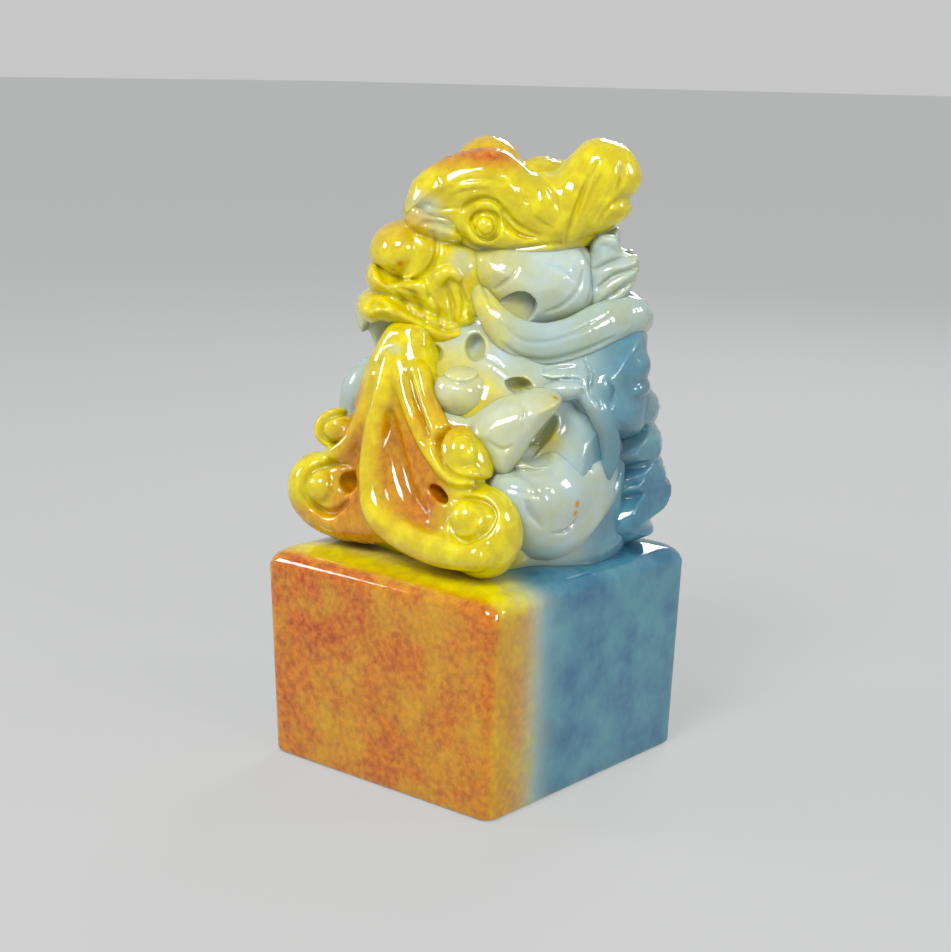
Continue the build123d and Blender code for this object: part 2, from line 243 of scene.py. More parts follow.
class Clay:
    """A block of points that holds, for each point, the distance to the carved surface.

    Its frame is turned about Z and may lean back: across runs to the right as the form is seen,
    up runs up it and out runs towards the eye.
    """

    def __init__(self, turn, low, high, step, origin=(0, 0, 0), lean=0.0):
        turn, lean = math.radians(turn), math.radians(lean)
        self.across = np.array((math.cos(turn), math.sin(turn), 0))
        self.out = np.array((math.sin(turn) * math.cos(lean), -math.cos(turn) * math.cos(lean),
                             math.sin(lean)))
        self.up = np.cross(self.out, self.across)
        self.origin = np.array(origin, float)
        self.step = step
        self.low = np.array(low, float)
        self.counts = np.ceil((np.array(high) - self.low) / step).astype(int) + 1
        self.field = np.full(self.counts, FAR, np.float32)

    def seen(self, pixels, depth):
        """Where the camera's rays through pixels cross the planes that lie out by depth."""
        place = camera_axes()[0]
        towards = rays(np.asarray(pixels, float))
        reach = (np.asarray(depth) - (place - self.origin) @ self.out) / (towards @ self.out)
        points = place + towards * reach[:, None] - self.origin
        return np.stack([points @ self.across, points @ self.up], axis=1)

    def region(self, low, high):
        """The slices of the block inside a box, and the coordinates there."""
        first = np.floor((np.asarray(low) - self.low) / self.step).astype(int)
        last = np.ceil((np.asarray(high) - self.low) / self.step).astype(int) + 1
        first, last = np.clip(first, 0, self.counts), np.clip(last, 0, self.counts)
        place = tuple(slice(a, b) for a, b in zip(first, last))
        x, y, z = (self.low[i] + self.step * np.arange(first[i], last[i]) for i in range(3))
        return place, x[:, None, None], y[None, :, None], z[None, None, :]

    def whole(self):
        """The slices of the whole block, and the coordinates there."""
        return self.region(self.low, self.low + self.step * self.counts)

    def merge(self, place, distance, blend, cut=False):
        """Adds or cuts a form whose distances are known in one region."""
        distance = distance.astype(np.float32)
        if cut:
            self.field[place] = -smooth_min(-self.field[place], distance, blend)
        else:
            self.field[place] = smooth_min(self.field[place], distance, blend)

    def ball(self, centre, radii, turn=0.0, blend=0.3, cut=False):
        """An egg form, turned in the picture's plane."""
        centre, radii = np.array(centre, float), np.array(radii, float)
        widest = radii[:2].max()
        reach = np.array((widest, widest, radii[2])) + 2 * blend + 3 * self.step
        place, x, y, z = self.region(centre - reach, centre + reach)
        turn = math.radians(turn)
        x, y, z = x - centre[0], y - centre[1], z - centre[2]
        a = x * math.cos(turn) + y * math.sin(turn)
        b = y * math.cos(turn) - x * math.sin(turn)
        unit, slope = (np.sqrt((a / radii[0] ** power) ** 2 + (b / radii[1] ** power) ** 2
                               + (z / radii[2] ** power) ** 2) for power in (1, 2))
        self.merge(place, unit * (unit - 1) / np.maximum(slope, 1e-6), blend, cut)

    def ball_at(self, x, y, depth, radii, turn=0.0, blend=0.3, cut=False):
        """An egg form centred where a pixel is seen."""
        self.ball((*self.seen([(x, y)], depth)[0], depth), radii, turn, blend, cut)

    def tube(self, points, flat=1.0, blend=0.3):
        """A round or flattened band through (across, up, out, radius) points."""
        points = rounded(points, False)
        most = points[:, 3].max() + 2 * blend + 3 * self.step
        place, x, y, z = self.region(points[:, :3].min(0) - most, points[:, :3].max(0) + most)
        nearest = np.full(np.broadcast_shapes(x.shape, y.shape, z.shape), FAR)
        for start, end in zip(points, points[1:]):
            low = np.minimum(start, end)[:3] - most
            high = np.maximum(start, end)[:3] + most
            spans = [slice(*np.searchsorted(axis.ravel(), (low[i], high[i])))
                     for i, axis in enumerate((x, y, z))]
            a, b, c = x[spans[0]], y[:, spans[1]], z[:, :, spans[2]]
            run = end[:3] - start[:3]
            share = (a - start[0]) * run[0] + (b - start[1]) * run[1] + (c - start[2]) * run[2]
            share = np.clip(share / max(float(run @ run), 1e-9), 0, 1)
            away = np.sqrt((a - start[0] - share * run[0]) ** 2
                           + (b - start[1] - share * run[1]) ** 2
                           + ((c - start[2] - share * run[2]) / flat) ** 2)
            here = away - start[3] - (end[3] - start[3]) * share
            nearest[tuple(spans)] = np.minimum(nearest[tuple(spans)], here)
        self.merge(place, nearest * min(flat, 1.0), blend)

    def tube_at(self, points, flat=1.0, blend=0.3):
        """A band through places given as pixel x, pixel y, depth and radius."""
        points = np.array(points, float)
        plane = self.seen(points[:, :2], points[:, 2])
        self.tube(np.hstack([plane, points[:, 2:]]), flat, blend)

    def pillow_at(self, pixels, depth, height, edge, tilt=0.0, sink=None, blend=0.3, cut=False):
        """A form with an outline in pixels that swells to a height over the width of its edge.

        Its middle plane lies out by depth, and may tilt by so much out for each millimetre up from
        the outline's middle. Behind that plane it is sunk by a depth.
        """
        outline = rounded(self.seen(pixels, depth), True)
        sink = height if sink is None else sink
        margin = 2 * blend + 3 * self.step
        thick = max(height, sink) + margin + 4 * abs(tilt)
        low, high = outline.min(0) - margin, outline.max(0) + margin
        place, x, y, z = self.region((*low, depth - thick), (*high, depth + thick))
        away = inside_outline(x, y, outline)
        plane = depth + tilt * (y - (low[1] + high[1]) / 2)
        inner = np.clip(-away / edge, 0, 1)
        swell = np.sqrt(inner * (2 - inner))
        lift = z - plane
        size = np.where(lift > 0, height, sink) * swell
        inside = (np.abs(lift) - size) * 0.8
        outside = np.sqrt(np.maximum(away, 0) ** 2 + lift ** 2)
        self.merge(place, np.where(away < 0, inside, outside), blend, cut)

    def engrave(self, path, width, deep, reach=(-BEYOND, BEYOND)):
        """A line cut along a path in the picture's plane, wherever the surface is.

        The path's points may carry a share of the width and depth as a third number.
        """
        path = np.array([tuple(point) + (1.0,) * (3 - len(point)) for point in path], float)
        path = rounded(path, False)
        low, high = path[:, :2].min(0) - 2 * width, path[:, :2].max(0) + 2 * width
        place, x, y, _ = self.region((*low, reach[0]), (*high, reach[1]))
        most = np.zeros(np.broadcast_shapes(x.shape, y.shape))
        for start, end in zip(path, path[1:]):
            away, share = to_segment(x, y, start[:2], end[:2])
            size = np.maximum(start[2] + (end[2] - start[2]) * share, LEAST_SHARE)
            most = np.maximum(most, size * np.exp(-(away / (0.5 * width * np.sqrt(size))) ** 2))
        self.field[place] += (deep * most).astype(np.float32)

    def engrave_at(self, pixels, depth, width, deep, reach=(-BEYOND, BEYOND)):
        """A line cut along pixels as they are seen at a depth."""
        plane = self.seen([point[:2] for point in pixels], depth)
        self.engrave([(*xy, *point[2:]) for xy, point in zip(plane, pixels)], width, deep, reach)

    def pillar(self, middle, base, top, low, high, radius, blend=0.5):
        """An upright pillar whose sides keep to the block's and draw in from base to top."""
        place, x, y, z = self.whole()
        level = np.clip((y + self.origin[2] - low) / (high - low), 0, 1)
        spans = [np.maximum(low - y, y - high) + radius]
        for axis in range(2):
            here = np.abs(x * self.across[axis] + z * self.out[axis] - middle[axis])
            spans.append(here - (base[axis] + (top[axis] - base[axis]) * level) + radius)
        distance = np.broadcast_to(rounded_box(spans, radius), self.field[place].shape)
        self.merge(place, distance, blend)

    def repeat_far(self):
        """Gives the far half the same forms as the near half."""
        half = self.field.shape[2] // 2
        self.field[:, :, :half] = self.field[:, :, :-half - 1:-1]

    def keep(self, low, high, rounding):
        """Cuts away whatever lies outside a box in the row frame, with rounded edges."""
        _, x, y, z = self.whole()
        spans = []
        for axis in range(3):
            here = (self.origin[axis] + x * self.across[axis] + y * self.up[axis]
                    + z * self.out[axis])
            spans.append(np.maximum(low[axis] - here, here - high[axis]) + rounding)
        box = np.broadcast_to(rounded_box(spans, rounding), self.field.shape)
        self.field = np.maximum(self.field, box.astype(np.float32))

    def mesh(self):
        """The carved surface: its points in the row frame in metres, and its four-sided faces."""
        field = self.field.copy()
        for axis in range(3):
            edge = np.moveaxis(field, axis, 0)
            edge[0] = edge[-1] = FAR
        inside = field < 0
        cells = tuple(count - 1 for count in field.shape)
        corners = [(i, j, k) for i in (0, 1) for j in (0, 1) for k in (0, 1)]
        total = np.zeros(cells, np.uint8)
        for i, j, k in corners:
            total += inside[i:cells[0] + i, j:cells[1] + j, k:cells[2] + k]
        active = (total > 0) & (total < len(corners))
        index = np.full(cells, -1, np.int64)
        index[active] = np.arange(active.sum())
        at = np.argwhere(active)
        values = np.stack([field[at[:, 0] + i, at[:, 1] + j, at[:, 2] + k]
                           for i, j, k in corners], axis=1)
        places, counts = np.zeros((len(at), 3)), np.zeros(len(at))
        for first, a in enumerate(corners):
            for second, b in enumerate(corners):
                if sum(b) - sum(a) != 1 or sum(abs(m - n) for m, n in zip(a, b)) != 1:
                    continue
                low, high = values[:, first], values[:, second]
                crossed = (low < 0) != (high < 0)
                share = np.where(crossed, low / np.where(crossed, low - high, 1), 0)
                spot = np.array(a) + share[:, None] * (np.array(b) - np.array(a))
                places += np.where(crossed[:, None], spot, 0)
                counts += crossed
        x, y, z = (self.low + self.step * (at + places / counts[:, None])).T[:, :, None]
        points = self.origin + x * self.across + y * self.up + z * self.out
        return points * MM, self.faces(inside, index)

    @staticmethod
    def faces(inside, index):
        """One face for each edge between neighbouring points that the surface crosses."""
        quads = []
        for axis in range(3):
            line = np.moveaxis(inside, axis, 0)
            cell = np.moveaxis(index, axis, 0)
            changes = line[:-1, 1:-1, 1:-1] != line[1:, 1:-1, 1:-1]
            i, j, k = np.nonzero(changes)
            ring = np.stack([cell[i, j, k], cell[i, j + 1, k], cell[i, j + 1, k + 1],
                             cell[i, j, k + 1]], axis=1)
            flip = line[i, j + 1, k + 1] ^ (axis == 1)
            quads.append(np.where(flip[:, None], ring, ring[:, ::-1]))
        return np.vstack(quads)


# Carved forms. Pixels are the photograph's; depths and radii are millimetres.

def fine(step=0.13):
    """The spacing of the points."""
    return step * 1.0


def carve_head():
    """The brow and horns: two long ridges with a crease between, a ringed eye and lobed horns."""
    clay = Clay(SIDE_VIEW, (-9, 38, -7), (14, 52, 7.5), fine())
    middle = [
        (407, 222), (406, 204), (412, 184), (430, 169), (456, 158), (485, 154), (512, 160),
        (530, 174), (552, 182), (578, 194), (592, 215), (596, 240), (560, 262), (500, 264),
        (468, 252), (440, 238)]
    clay.pillow_at(middle, 0, 4.1, 2.6)
    brow = [
        (406, 214), (407, 198), (414, 180), (430, 166), (454, 154), (484, 148), (506, 151),
        (522, 163), (534, 173), (550, 175), (566, 172), (582, 190), (586, 214), (572, 238),
        (552, 240), (528, 236), (506, 228), (488, 232), (470, 226), (462, 212), (444, 207),
        (424, 210)]
    horn = [
        (540, 176), (556, 172), (570, 156), (582, 144), (597, 138), (612, 141), (627, 147),
        (638, 162), (642, 178), (637, 191), (630, 199), (632, 208), (626, 218), (614, 226),
        (600, 233), (584, 237), (564, 242), (546, 236), (536, 210)]
    clay.pillow_at(brow, 2.3, 2.5, 3.0, blend=0.5)
    clay.pillow_at([
        (420, 212), (424, 196), (438, 180), (452, 164), (462, 148), (475, 139), (490, 136),
        (505, 140), (516, 149), (524, 162), (540, 178), (562, 186), (572, 210), (540, 236),
        (480, 226), (440, 214)], -2.4, 2.4, 2.4, blend=0.2)
    clay.pillow_at(horn, 2.6, 2.5, 2.6, blend=1.0)
    clay.pillow_at([
        (519, 172), (523, 162), (534, 157), (547, 157), (562, 160), (582, 158), (602, 160),
        (618, 172), (622, 190), (608, 206), (580, 212), (536, 206)], -3.0, 2.4, 2.2, blend=0.2)
    for line in (
            [(566, 240, 0.7), (574, 214), (584, 188), (597, 162, 0.5)],
            [(632, 197), (618, 200), (606, 210, 0.8), (598, 224, 0.5)],
            [(617, 190, 0.4), (622, 174, 0.9), (620, 158, 0.4)],
            [(546, 184, 0.5), (556, 200, 0.8), (560, 218, 0.5)]):
        clay.engrave_at(line, 4.6, 0.42, 0.26, reach=(0.5, 9))
    clay.engrave_at([
        (448, 188, 0.5), (462, 181), (482, 178), (504, 182, 0.5)], 4.6, 0.5, 0.16, reach=(0.5, 9))
    clay.engrave_at([(438, 176, 0.5), (443, 186), (440, 198, 0.5)], 4.4, 0.5, 0.16, reach=(0.5, 9))
    for crease in (
            [(452, 196, 0.4), (470, 190), (492, 189, 0.5)],
            [(424, 204, 0.4), (440, 209), (460, 208, 0.5)],
            [(584, 210, 0.4), (592, 190), (603, 170, 0.4)],
            [(592, 222, 0.4), (602, 204), (612, 184, 0.4)],
            [(530, 212, 0.4), (540, 222), (552, 228, 0.5)],
            [(518, 190, 0.4), (528, 202), (530, 216, 0.5)],
            [(418, 190, 0.4), (424, 178), (436, 168, 0.4)]):
        clay.engrave_at(crease, 4.6, 0.28, 0.13, reach=(0.5, 9))
    clay.ball_at(485, 227, 3.8, (1.5, 1.5, 0.7), blend=0.35)
    clay.engrave_at([
        (462, 212, 0.4), (468, 204), (480, 199), (494, 201), (505, 212), (514, 223, 0.9),
        (528, 232, 0.7), (541, 236, 0.4)], 4.8, 0.4, 0.32, reach=(0.5, 9))
    clay.engrave_at([
        (475, 233), (471, 224), (476, 215), (486, 212), (496, 216), (499, 226), (495, 236),
        (485, 240), (475, 233)], 5.0, 0.38, 0.42, reach=(0.5, 9))
    clay.ball_at(485, 226, 4.3, (0.85, 0.85, 0.75), blend=0.05)
    clay.engrave_at([
        (476, 229), (478, 219), (487, 217), (494, 223), (493, 232), (485, 236), (476, 229)], 5.2,
        0.2, 0.2, reach=(0.5, 9))
    clay.engrave_at([
        (502, 211, 0.4), (505, 222), (513, 231), (524, 237, 0.8), (538, 239, 0.3)], 4.6, 0.4, 0.42,
        reach=(0.5, 9))
    clay.engrave_at([
        (464, 240, 0.5), (476, 247), (500, 250), (530, 247), (560, 243, 0.6)], 4.2, 0.4, 0.3,
        reach=(0.5, 9))
    return clay


def carve_muzzle():
    """The snout: a round nose with a curled nostril, the bridge, a folded lip and a curled chin."""
    clay = Clay(SIDE_VIEW, (-12, 31, -6), (4, 47, 6.5), fine())
    clay.ball_at(402, 249, 0.3, (2.6, 2.3, 3.3), turn=20)
    clay.pillow_at([
        (408, 224), (430, 222), (462, 234), (488, 250), (494, 282), (494, 312), (482, 332),
        (452, 336), (424, 316), (400, 290), (396, 260)], 0.4, 3.3, 2.2, blend=0.5)
    clay.pillow_at([
        (404, 220), (404, 204), (412, 194), (440, 194), (463, 205), (468, 240), (440, 244),
        (412, 232)], 0.6, 3.5, 1.5)
    clay.pillow_at([
        (371, 262), (366, 273), (367, 283), (373, 291), (388, 298), (408, 306), (430, 318),
        (452, 330), (474, 332), (486, 318), (478, 298), (462, 284), (440, 276), (420, 272),
        (398, 268), (382, 262)], 0.0, 3.9, 2.2, blend=0.2)
    clay.pillow_at([
        (371, 290), (361, 295), (357, 304), (361, 315), (371, 322), (384, 321), (398, 326),
        (412, 334), (426, 343), (442, 349), (460, 348), (476, 340), (484, 326), (460, 310),
        (430, 300), (408, 292), (390, 286)], 0.2, 3.7, 1.7, blend=0.4)
    for curl in (
            [(414, 268, 2.5, 0.4), (424, 272, 2.9, 0.6), (435, 268, 3.2, 0.6),
             (438, 256, 3.2, 0.45)],
            [(398, 284, 2.9, 0.4), (408, 282, 3.3, 0.6), (420, 286, 3.5, 0.6),
             (424, 296, 3.5, 0.4)],
            [(436, 288, 3.4, 0.4), (441, 276, 3.7, 0.55), (450, 272, 3.8, 0.5),
             (458, 278, 3.7, 0.35)]):
        clay.tube_at(curl, blend=0.15)
    clay.ball_at(402, 248, 0.6, (2.3, 2.1, 3.3), turn=20, blend=0.1)
    for fold in (
            [(376, 268, 0.7), (388, 278, 1.2), (404, 281, 1.4), (420, 277, 1.4), (432, 265, 1.2),
             (437, 248), (433, 232, 0.6)],
            [(378, 270, 0.6), (384, 280), (392, 290, 0.6)],
            [(396, 290, 0.6), (404, 302), (410, 314, 0.6)],
            [(412, 294, 0.6), (420, 306), (424, 322, 0.6)],
            [(430, 296, 0.6), (438, 308), (440, 328, 0.8)],
            [(446, 284, 0.6), (452, 300), (454, 322, 0.8)],
            [(460, 284, 0.6), (464, 300), (462, 318, 0.6)],
            [(468, 302, 0.6), (470, 314), (480, 320, 0.6)],
            [(371, 308, 0.6), (377, 302), (386, 306, 0.7)],
            [(366, 291, 0.8), (380, 295), (400, 306), (424, 320), (446, 330, 0.8), (468, 328, 0.5)],
            [(412, 199, 0.6), (422, 208), (436, 215), (462, 214, 0.6)],
            [(424, 222, 0.6), (440, 223), (458, 232, 0.6)],
            [(436, 200, 0.5), (448, 212, 0.8), (452, 224, 0.5)]):
        clay.engrave_at(fold, 3.4, 0.42, 0.28, reach=(0.3, 9))
    return clay


def carve_beard():
    """The far side's beard: a thin scalloped leaf."""
    clay = Clay(SIDE_VIEW, (-14, 29, -6), (-2, 40, 0), fine())
    clay.pillow_at([
        (372, 288), (360, 294), (356, 305), (357, 322), (362, 332), (369, 331), (373, 341),
        (377, 350), (384, 353), (396, 342), (410, 336), (404, 312), (388, 296)], -2.2, 0.9, 0.9)
    clay.engrave_at([(366, 330), (374, 320, 0.8), (386, 314, 0.4)], -1.6, 0.4, 0.3)
    return clay


def carve_near_cheek():
    """The cheek: a full oval with a rim line, a deep hollow and a few fine creases."""
    clay = Clay(SIDE_VIEW, (-3, 33.5, -1), (12, 44, 8), fine())
    clay.pillow_at([
        (468, 264), (476, 246), (502, 238), (540, 238), (576, 240), (592, 252), (597, 272),
        (598, 292), (590, 310), (574, 322), (552, 331), (528, 334), (508, 328), (494, 312),
        (482, 294), (470, 280)], 1.6, 3.5, 5.0)
    clay.pillow_at([
        (497, 306), (506, 297), (520, 292), (532, 296), (537, 306), (532, 319), (520, 329),
        (508, 328), (499, 318)], 4.8, 2.4, 0.8, sink=2.4, blend=0.2, cut=True)
    clay.engrave_at([(582, 250, 0.5), (591, 264), (594, 282), (588, 304, 0.5)], 4.2, 0.35, 0.22)
    clay.engrave_at([(517, 270, 0.5), (508, 280), (496, 290, 0.6)], 4.8, 0.35, 0.2)
    clay.engrave_at([(546, 266, 0.5), (562, 270), (573, 281, 0.5)], 4.8, 0.3, 0.15)
    clay.engrave_at([(546, 312, 0.4), (562, 306), (578, 290), (584, 272, 0.5)], 4.6, 0.35, 0.14)
    return clay


def carve_near_whisker():
    """The whisker: a smooth band from the snout, under the cheek and out to the back."""
    clay = Clay(SIDE_VIEW, (-4, 31, -3), (15, 42, 8), fine())
    clay.tube_at([
        (466, 262, 2.0, 0.5), (473, 282, 2.7, 0.65), (484, 302, 3.7, 0.9), (498, 322, 4.6, 1.25),
        (518, 338, 5.0, 1.5), (545, 344, 4.9, 1.65), (574, 339, 4.4, 1.75), (602, 326, 3.5, 1.85),
        (624, 318, 2.3, 1.8), (635, 318, 1.0, 1.5)], flat=0.62)
    clay.engrave_at([
        (502, 342, 0.5), (522, 355), (548, 358), (580, 351, 0.8), (614, 338, 0.4)], 5, 0.4, 0.2)
    clay.engrave_at([
        (500, 322, 0.4), (522, 339), (552, 340), (586, 328, 0.8), (618, 311, 0.4)], 5.4, 0.3, 0.14)
    clay.engrave_at([(474, 262, 0.4), (481, 284), (492, 306, 0.5)], 4.0, 0.3, 0.14)
    return clay


def carve_near_fin():
    """The mane behind the cheek: a ribbed fin with pointed tips."""
    clay = Clay(SIDE_VIEW, (6, 35, -2), (14, 44, 6), fine())
    clay.pillow_at([
        (590, 240), (604, 234), (618, 227), (620, 236), (620, 247), (627, 253), (636, 254),
        (639, 262), (638, 274), (634, 285), (627, 295), (618, 304), (600, 310), (588, 300)], 2.0,
        1.6, 1.5)
    for rib in (
            [(596, 270, 0.6), (612, 262), (634, 258, 0.7)],
            [(598, 288, 0.6), (614, 276), (636, 268, 0.7)],
            [(602, 302, 0.6), (616, 292), (634, 280, 0.7)]):
        clay.engrave_at(rib, 3.4, 0.5, 0.4)
    clay.tube_at([
        (597, 246, 3.0, 0.35), (604, 240, 3.2, 0.45), (612, 242, 3.1, 0.45), (616, 250, 2.8, 0.3)],
        blend=0.2)
    return clay


def carve_mane():
    """The mane over the shoulder, below the whisker: a swelling with lumps and strands."""
    clay = Clay(SIDE_VIEW, (-3, 22, -9), (16, 38, 9), fine(0.14))
    clay.pillow_at([
        (500, 344), (540, 336), (590, 330), (634, 322), (646, 332), (647, 352), (650, 368),
        (643, 384), (648, 400), (640, 430), (600, 440), (566, 420), (540, 396), (505, 372)], 0.5,
        6.0, 4.0)
    clay.ball_at(622, 362, 2.6, (2.3, 1.9, 2.8), turn=-20, blend=0.4)
    clay.ball_at(600, 386, 4.6, (2.4, 1.5, 2.2), turn=55, blend=0.3)
    clay.ball_at(566, 388, 6.0, (1.9, 1.0, 1.4), turn=10, blend=0.3)
    clay.ball_at(630, 386, 2.4, (1.6, 1.2, 2.6), blend=0.3)
    clay.tube_at([
        (574, 380, 6.0, 0.6), (588, 396, 6.2, 0.8), (600, 414, 6.2, 0.9), (608, 436, 5.8, 0.9),
        (609, 458, 5.4, 0.8), (602, 480, 5.0, 0.6)], blend=0.3)
    for strand in (
            [(538, 366, 0.5), (552, 363), (572, 360, 0.5)],
            [(540, 373, 0.5), (556, 370), (574, 368, 0.5)],
            [(548, 382, 0.5), (562, 379), (580, 380), (583, 392, 0.6)],
            [(586, 362, 0.6), (591, 374), (589, 390, 0.8), (598, 404, 0.5)],
            [(606, 378, 0.5), (612, 390), (610, 404, 0.5)]):
        clay.engrave_at(strand, 5.8, 0.4, 0.32, reach=(1, 10))
    clay.repeat_far()
    return clay


def carve_back():
    """The four lobes down the back, one above another."""
    clay = Clay(SIDE_VIEW, (2, 16.5, -9), (17, 36, 8), fine(0.15))
    for outline in (
            [(590, 398), (620, 385), (643, 385), (654, 393), (659, 405), (656, 417), (645, 428),
             (590, 432)],
            [(590, 424), (640, 418), (654, 424), (661, 436), (661, 450), (653, 461), (628, 470),
             (590, 466)],
            [(590, 458), (640, 451), (656, 453), (663, 463), (665, 476), (654, 490), (622, 498),
             (590, 494)],
            [(584, 500), (600, 484), (634, 474), (656, 473), (668, 480), (671, 491), (665, 504),
             (650, 517), (652, 530), (620, 541), (588, 540)]):
        clay.pillow_at(outline, -0.8, 5.0, 3.2, blend=0.35)
    for line in (
            [(600, 444, 0.5), (624, 434), (652, 428, 0.8)],
            [(600, 476, 0.5), (628, 468), (658, 461, 0.8)],
            [(592, 508, 0.5), (612, 490), (640, 481), (664, 477, 0.8)],
            [(604, 410, 0.5), (626, 398), (650, 392, 0.8)]):
        clay.engrave_at(line, 3.2, 0.5, 0.4, reach=(-2, 9))
    clay.tube_at([
        (592, 532, 4.0, 0.4), (620, 527, 3.4, 0.5), (644, 515, 2.4, 0.5), (660, 500, 1.0, 0.3)],
        blend=0.3)
    clay.keep((-11.8, -11.8, 16.5), (11.9, 12.4, 45), 1.5)
    return clay


def carve_torso():
    """The trunk, which fills the space between the carved forms, and its olive hollows."""
    clay = Clay(SIDE_VIEW, (-12, 16.5, -13), (15, 40, 13), fine(0.16))
    clay.pillar((0.5, 0.8), (9.3, 9.9), (6.3, 6.9), 16.5, 34.6, 4.6)
    clay.ball((1.5, 25.0, 0.0), (10.5, 12.5, 7.6), blend=0.5)
    clay.ball((1.5, 20.0, 0.0), (10.8, 7.5, 8.6), blend=0.8)
    clay.ball((-4.0, 27.0, 1.0), (4.6, 8.5, 4.6), blend=0.6)
    clay.ball((2.0, 37.0, 0.0), (5.6, 4.8, 3.6), blend=0.6)
    clay.ball_at(520, 420, 4.5, (4.2, 3.4, 3.4), turn=-20, blend=0.5)
    clay.ball_at(572, 470, 3.6, (4.2, 5.6, 4.2), blend=0.6)
    clay.tube([
        (-2.0, 34.0, -5.4, 1.0), (2.0, 31.6, -7.0, 1.5), (5.2, 28.2, -7.6, 1.6),
        (6.4, 24.6, -7.8, 1.2)], blend=0.6)
    clay.tube([(-3.4, 32.4, -5.8, 0.9), (-1.2, 28.4, -7.4, 1.3), (1.0, 24.4, -8.6, 1.2)], blend=0.6)
    for line in (
            ((-4.6, 33.0), (-4.0, 28.0), (-2.6, 22.6)), ((0.4, 33.6), (2.6, 29.0), (3.4, 25.0)),
            ((-6.0, 31.0), (-6.2, 26.0), (-5.2, 20.6))):
        clay.engrave([(*point, LEAST_SHARE) for point in line], 0.6, 0.3, reach=(-12, -2))
    clay.ball_at(475, 347, 5.5, (0.85, 1.1, 2.4), blend=0.2, cut=True)
    clay.ball_at(432, 355, 5.0, (0.9, 0.8, 2.4), blend=0.2, cut=True)
    clay.ball_at(520, 386, 7.0, (1.1, 0.6, 1.8), turn=-10, blend=0.15, cut=True)
    clay.ball_at(543, 438, 9.0, (2.6, 0.95, 3.2), turn=52, blend=0.2, cut=True)
    for strand in (
            [(482, 358, 0.5), (494, 362), (508, 372, 0.5)],
            [(486, 366, 0.5), (498, 372), (508, 382, 0.5)]):
        clay.engrave_at(strand, 6.0, 0.3, 0.25)
    clay.keep((-11.2, -11.8, 16), (10.9, 11.8, 45), 2.6)
    return clay


def carve_pearl():
    """The pearl under the forepaw: a ball with a cap line round its top."""
    clay = Clay(SIDE_VIEW, (-6, 27, 2), (3, 35, 10), fine())
    clay.ball_at(461, 392, 6.4, (2.15, 2.0, 2.1))
    clay.engrave_at([
        (434, 374, 0.6), (446, 381), (461, 384), (476, 381), (489, 372, 0.6)], 8.2, 0.35, 0.25)
    return clay


def carve_near_foreleg():
    """The near foreleg: a shoulder that runs down to the paw, whose toes hold the pearl."""
    clay = Clay(SIDE_VIEW, (-5, 22, 2), (9, 34, 12), fine())
    clay.pillow_at([
        (500, 398), (520, 392), (545, 389), (560, 394), (562, 404), (552, 416), (540, 430),
        (528, 446), (518, 462), (506, 474), (490, 468), (476, 446), (466, 432), (470, 418),
        (486, 404)], 7.4, 3.0, 1.8, tilt=-0.12, sink=4.2)
    clay.engrave_at([(516, 402, 0.4), (524, 412), (522, 428, 0.5)], 9.8, 0.35, 0.2)
    clay.engrave_at([(488, 440, 0.4), (502, 448), (512, 444, 0.4)], 9.8, 0.35, 0.2)
    for toe in (
            [(432, 413, 6.4, 0.6), (446, 423, 7.2, 0.9), (468, 430, 7.8, 1.0),
             (492, 426, 8.0, 1.1)],
            [(470, 424, 7.8, 0.5), (484, 418, 8.2, 0.65), (500, 408, 8.0, 0.7),
             (512, 402, 7.6, 0.6)],
            [(462, 440, 7.6, 0.5), (476, 442, 8.2, 0.7), (492, 442, 8.4, 0.9)]):
        clay.tube_at(toe, blend=0.2)
    return clay


def haunch_clay():
    """A haunch and its foot with three toes, on the block's +X side."""
    clay = Clay(HAUNCH_VIEW, (-12, 16.5, 2), (7, 33, 12.5), fine())
    clay.ball((-2.2, 23.2, 6.9), (5.0, 3.9, 4.6), blend=0.5)
    clay.ball((-5.4, 20.4, 7.2), (3.6, 2.6, 3.0), blend=0.5)
    for toe in (-7.4, -6.0, -4.6):
        clay.engrave([(toe, 18.6, 9.8), (toe - 0.3, 20.0, 10.0), (toe, 21.6, 9.8)], 0.35, 0.3)
    return clay


def carve_far_haunch():
    """The haunch that the photograph doesn't show: a swelling with a folded edge and a curl."""
    clay = haunch_clay()
    clay.ball((-2.0, 23.8, 7.2), (6.2, 5.0, 4.5), blend=0.4)
    clay.ball((-5.6, 19.8, 8.4), (3.9, 3.0, 3.2), blend=0.3)
    clay.tube([
        (-3.0, 29.2, 8.6, 0.6), (0.2, 28.4, 9.2, 0.9), (2.2, 25.6, 9.4, 1.0), (2.2, 22.4, 9.0, 1.0),
        (0.8, 19.8, 8.4, 0.8)], blend=0.4)
    clay.engrave([
        (-4.6, 23.0, 11.2), (-2.6, 22.2, 11.4), (-0.6, 23.0, 11.4), (0.4, 24.8, 11.2)], 0.45, 0.35)
    clay.engrave([(-3.4, 26.6, 11.0), (-1.4, 27.0, 11.2), (0.8, 26.0, 11.0)], 0.4, 0.25)
    clay.keep(HAUNCH_LOW, HAUNCH_HIGH, HAUNCH_ROUNDING)
    return clay


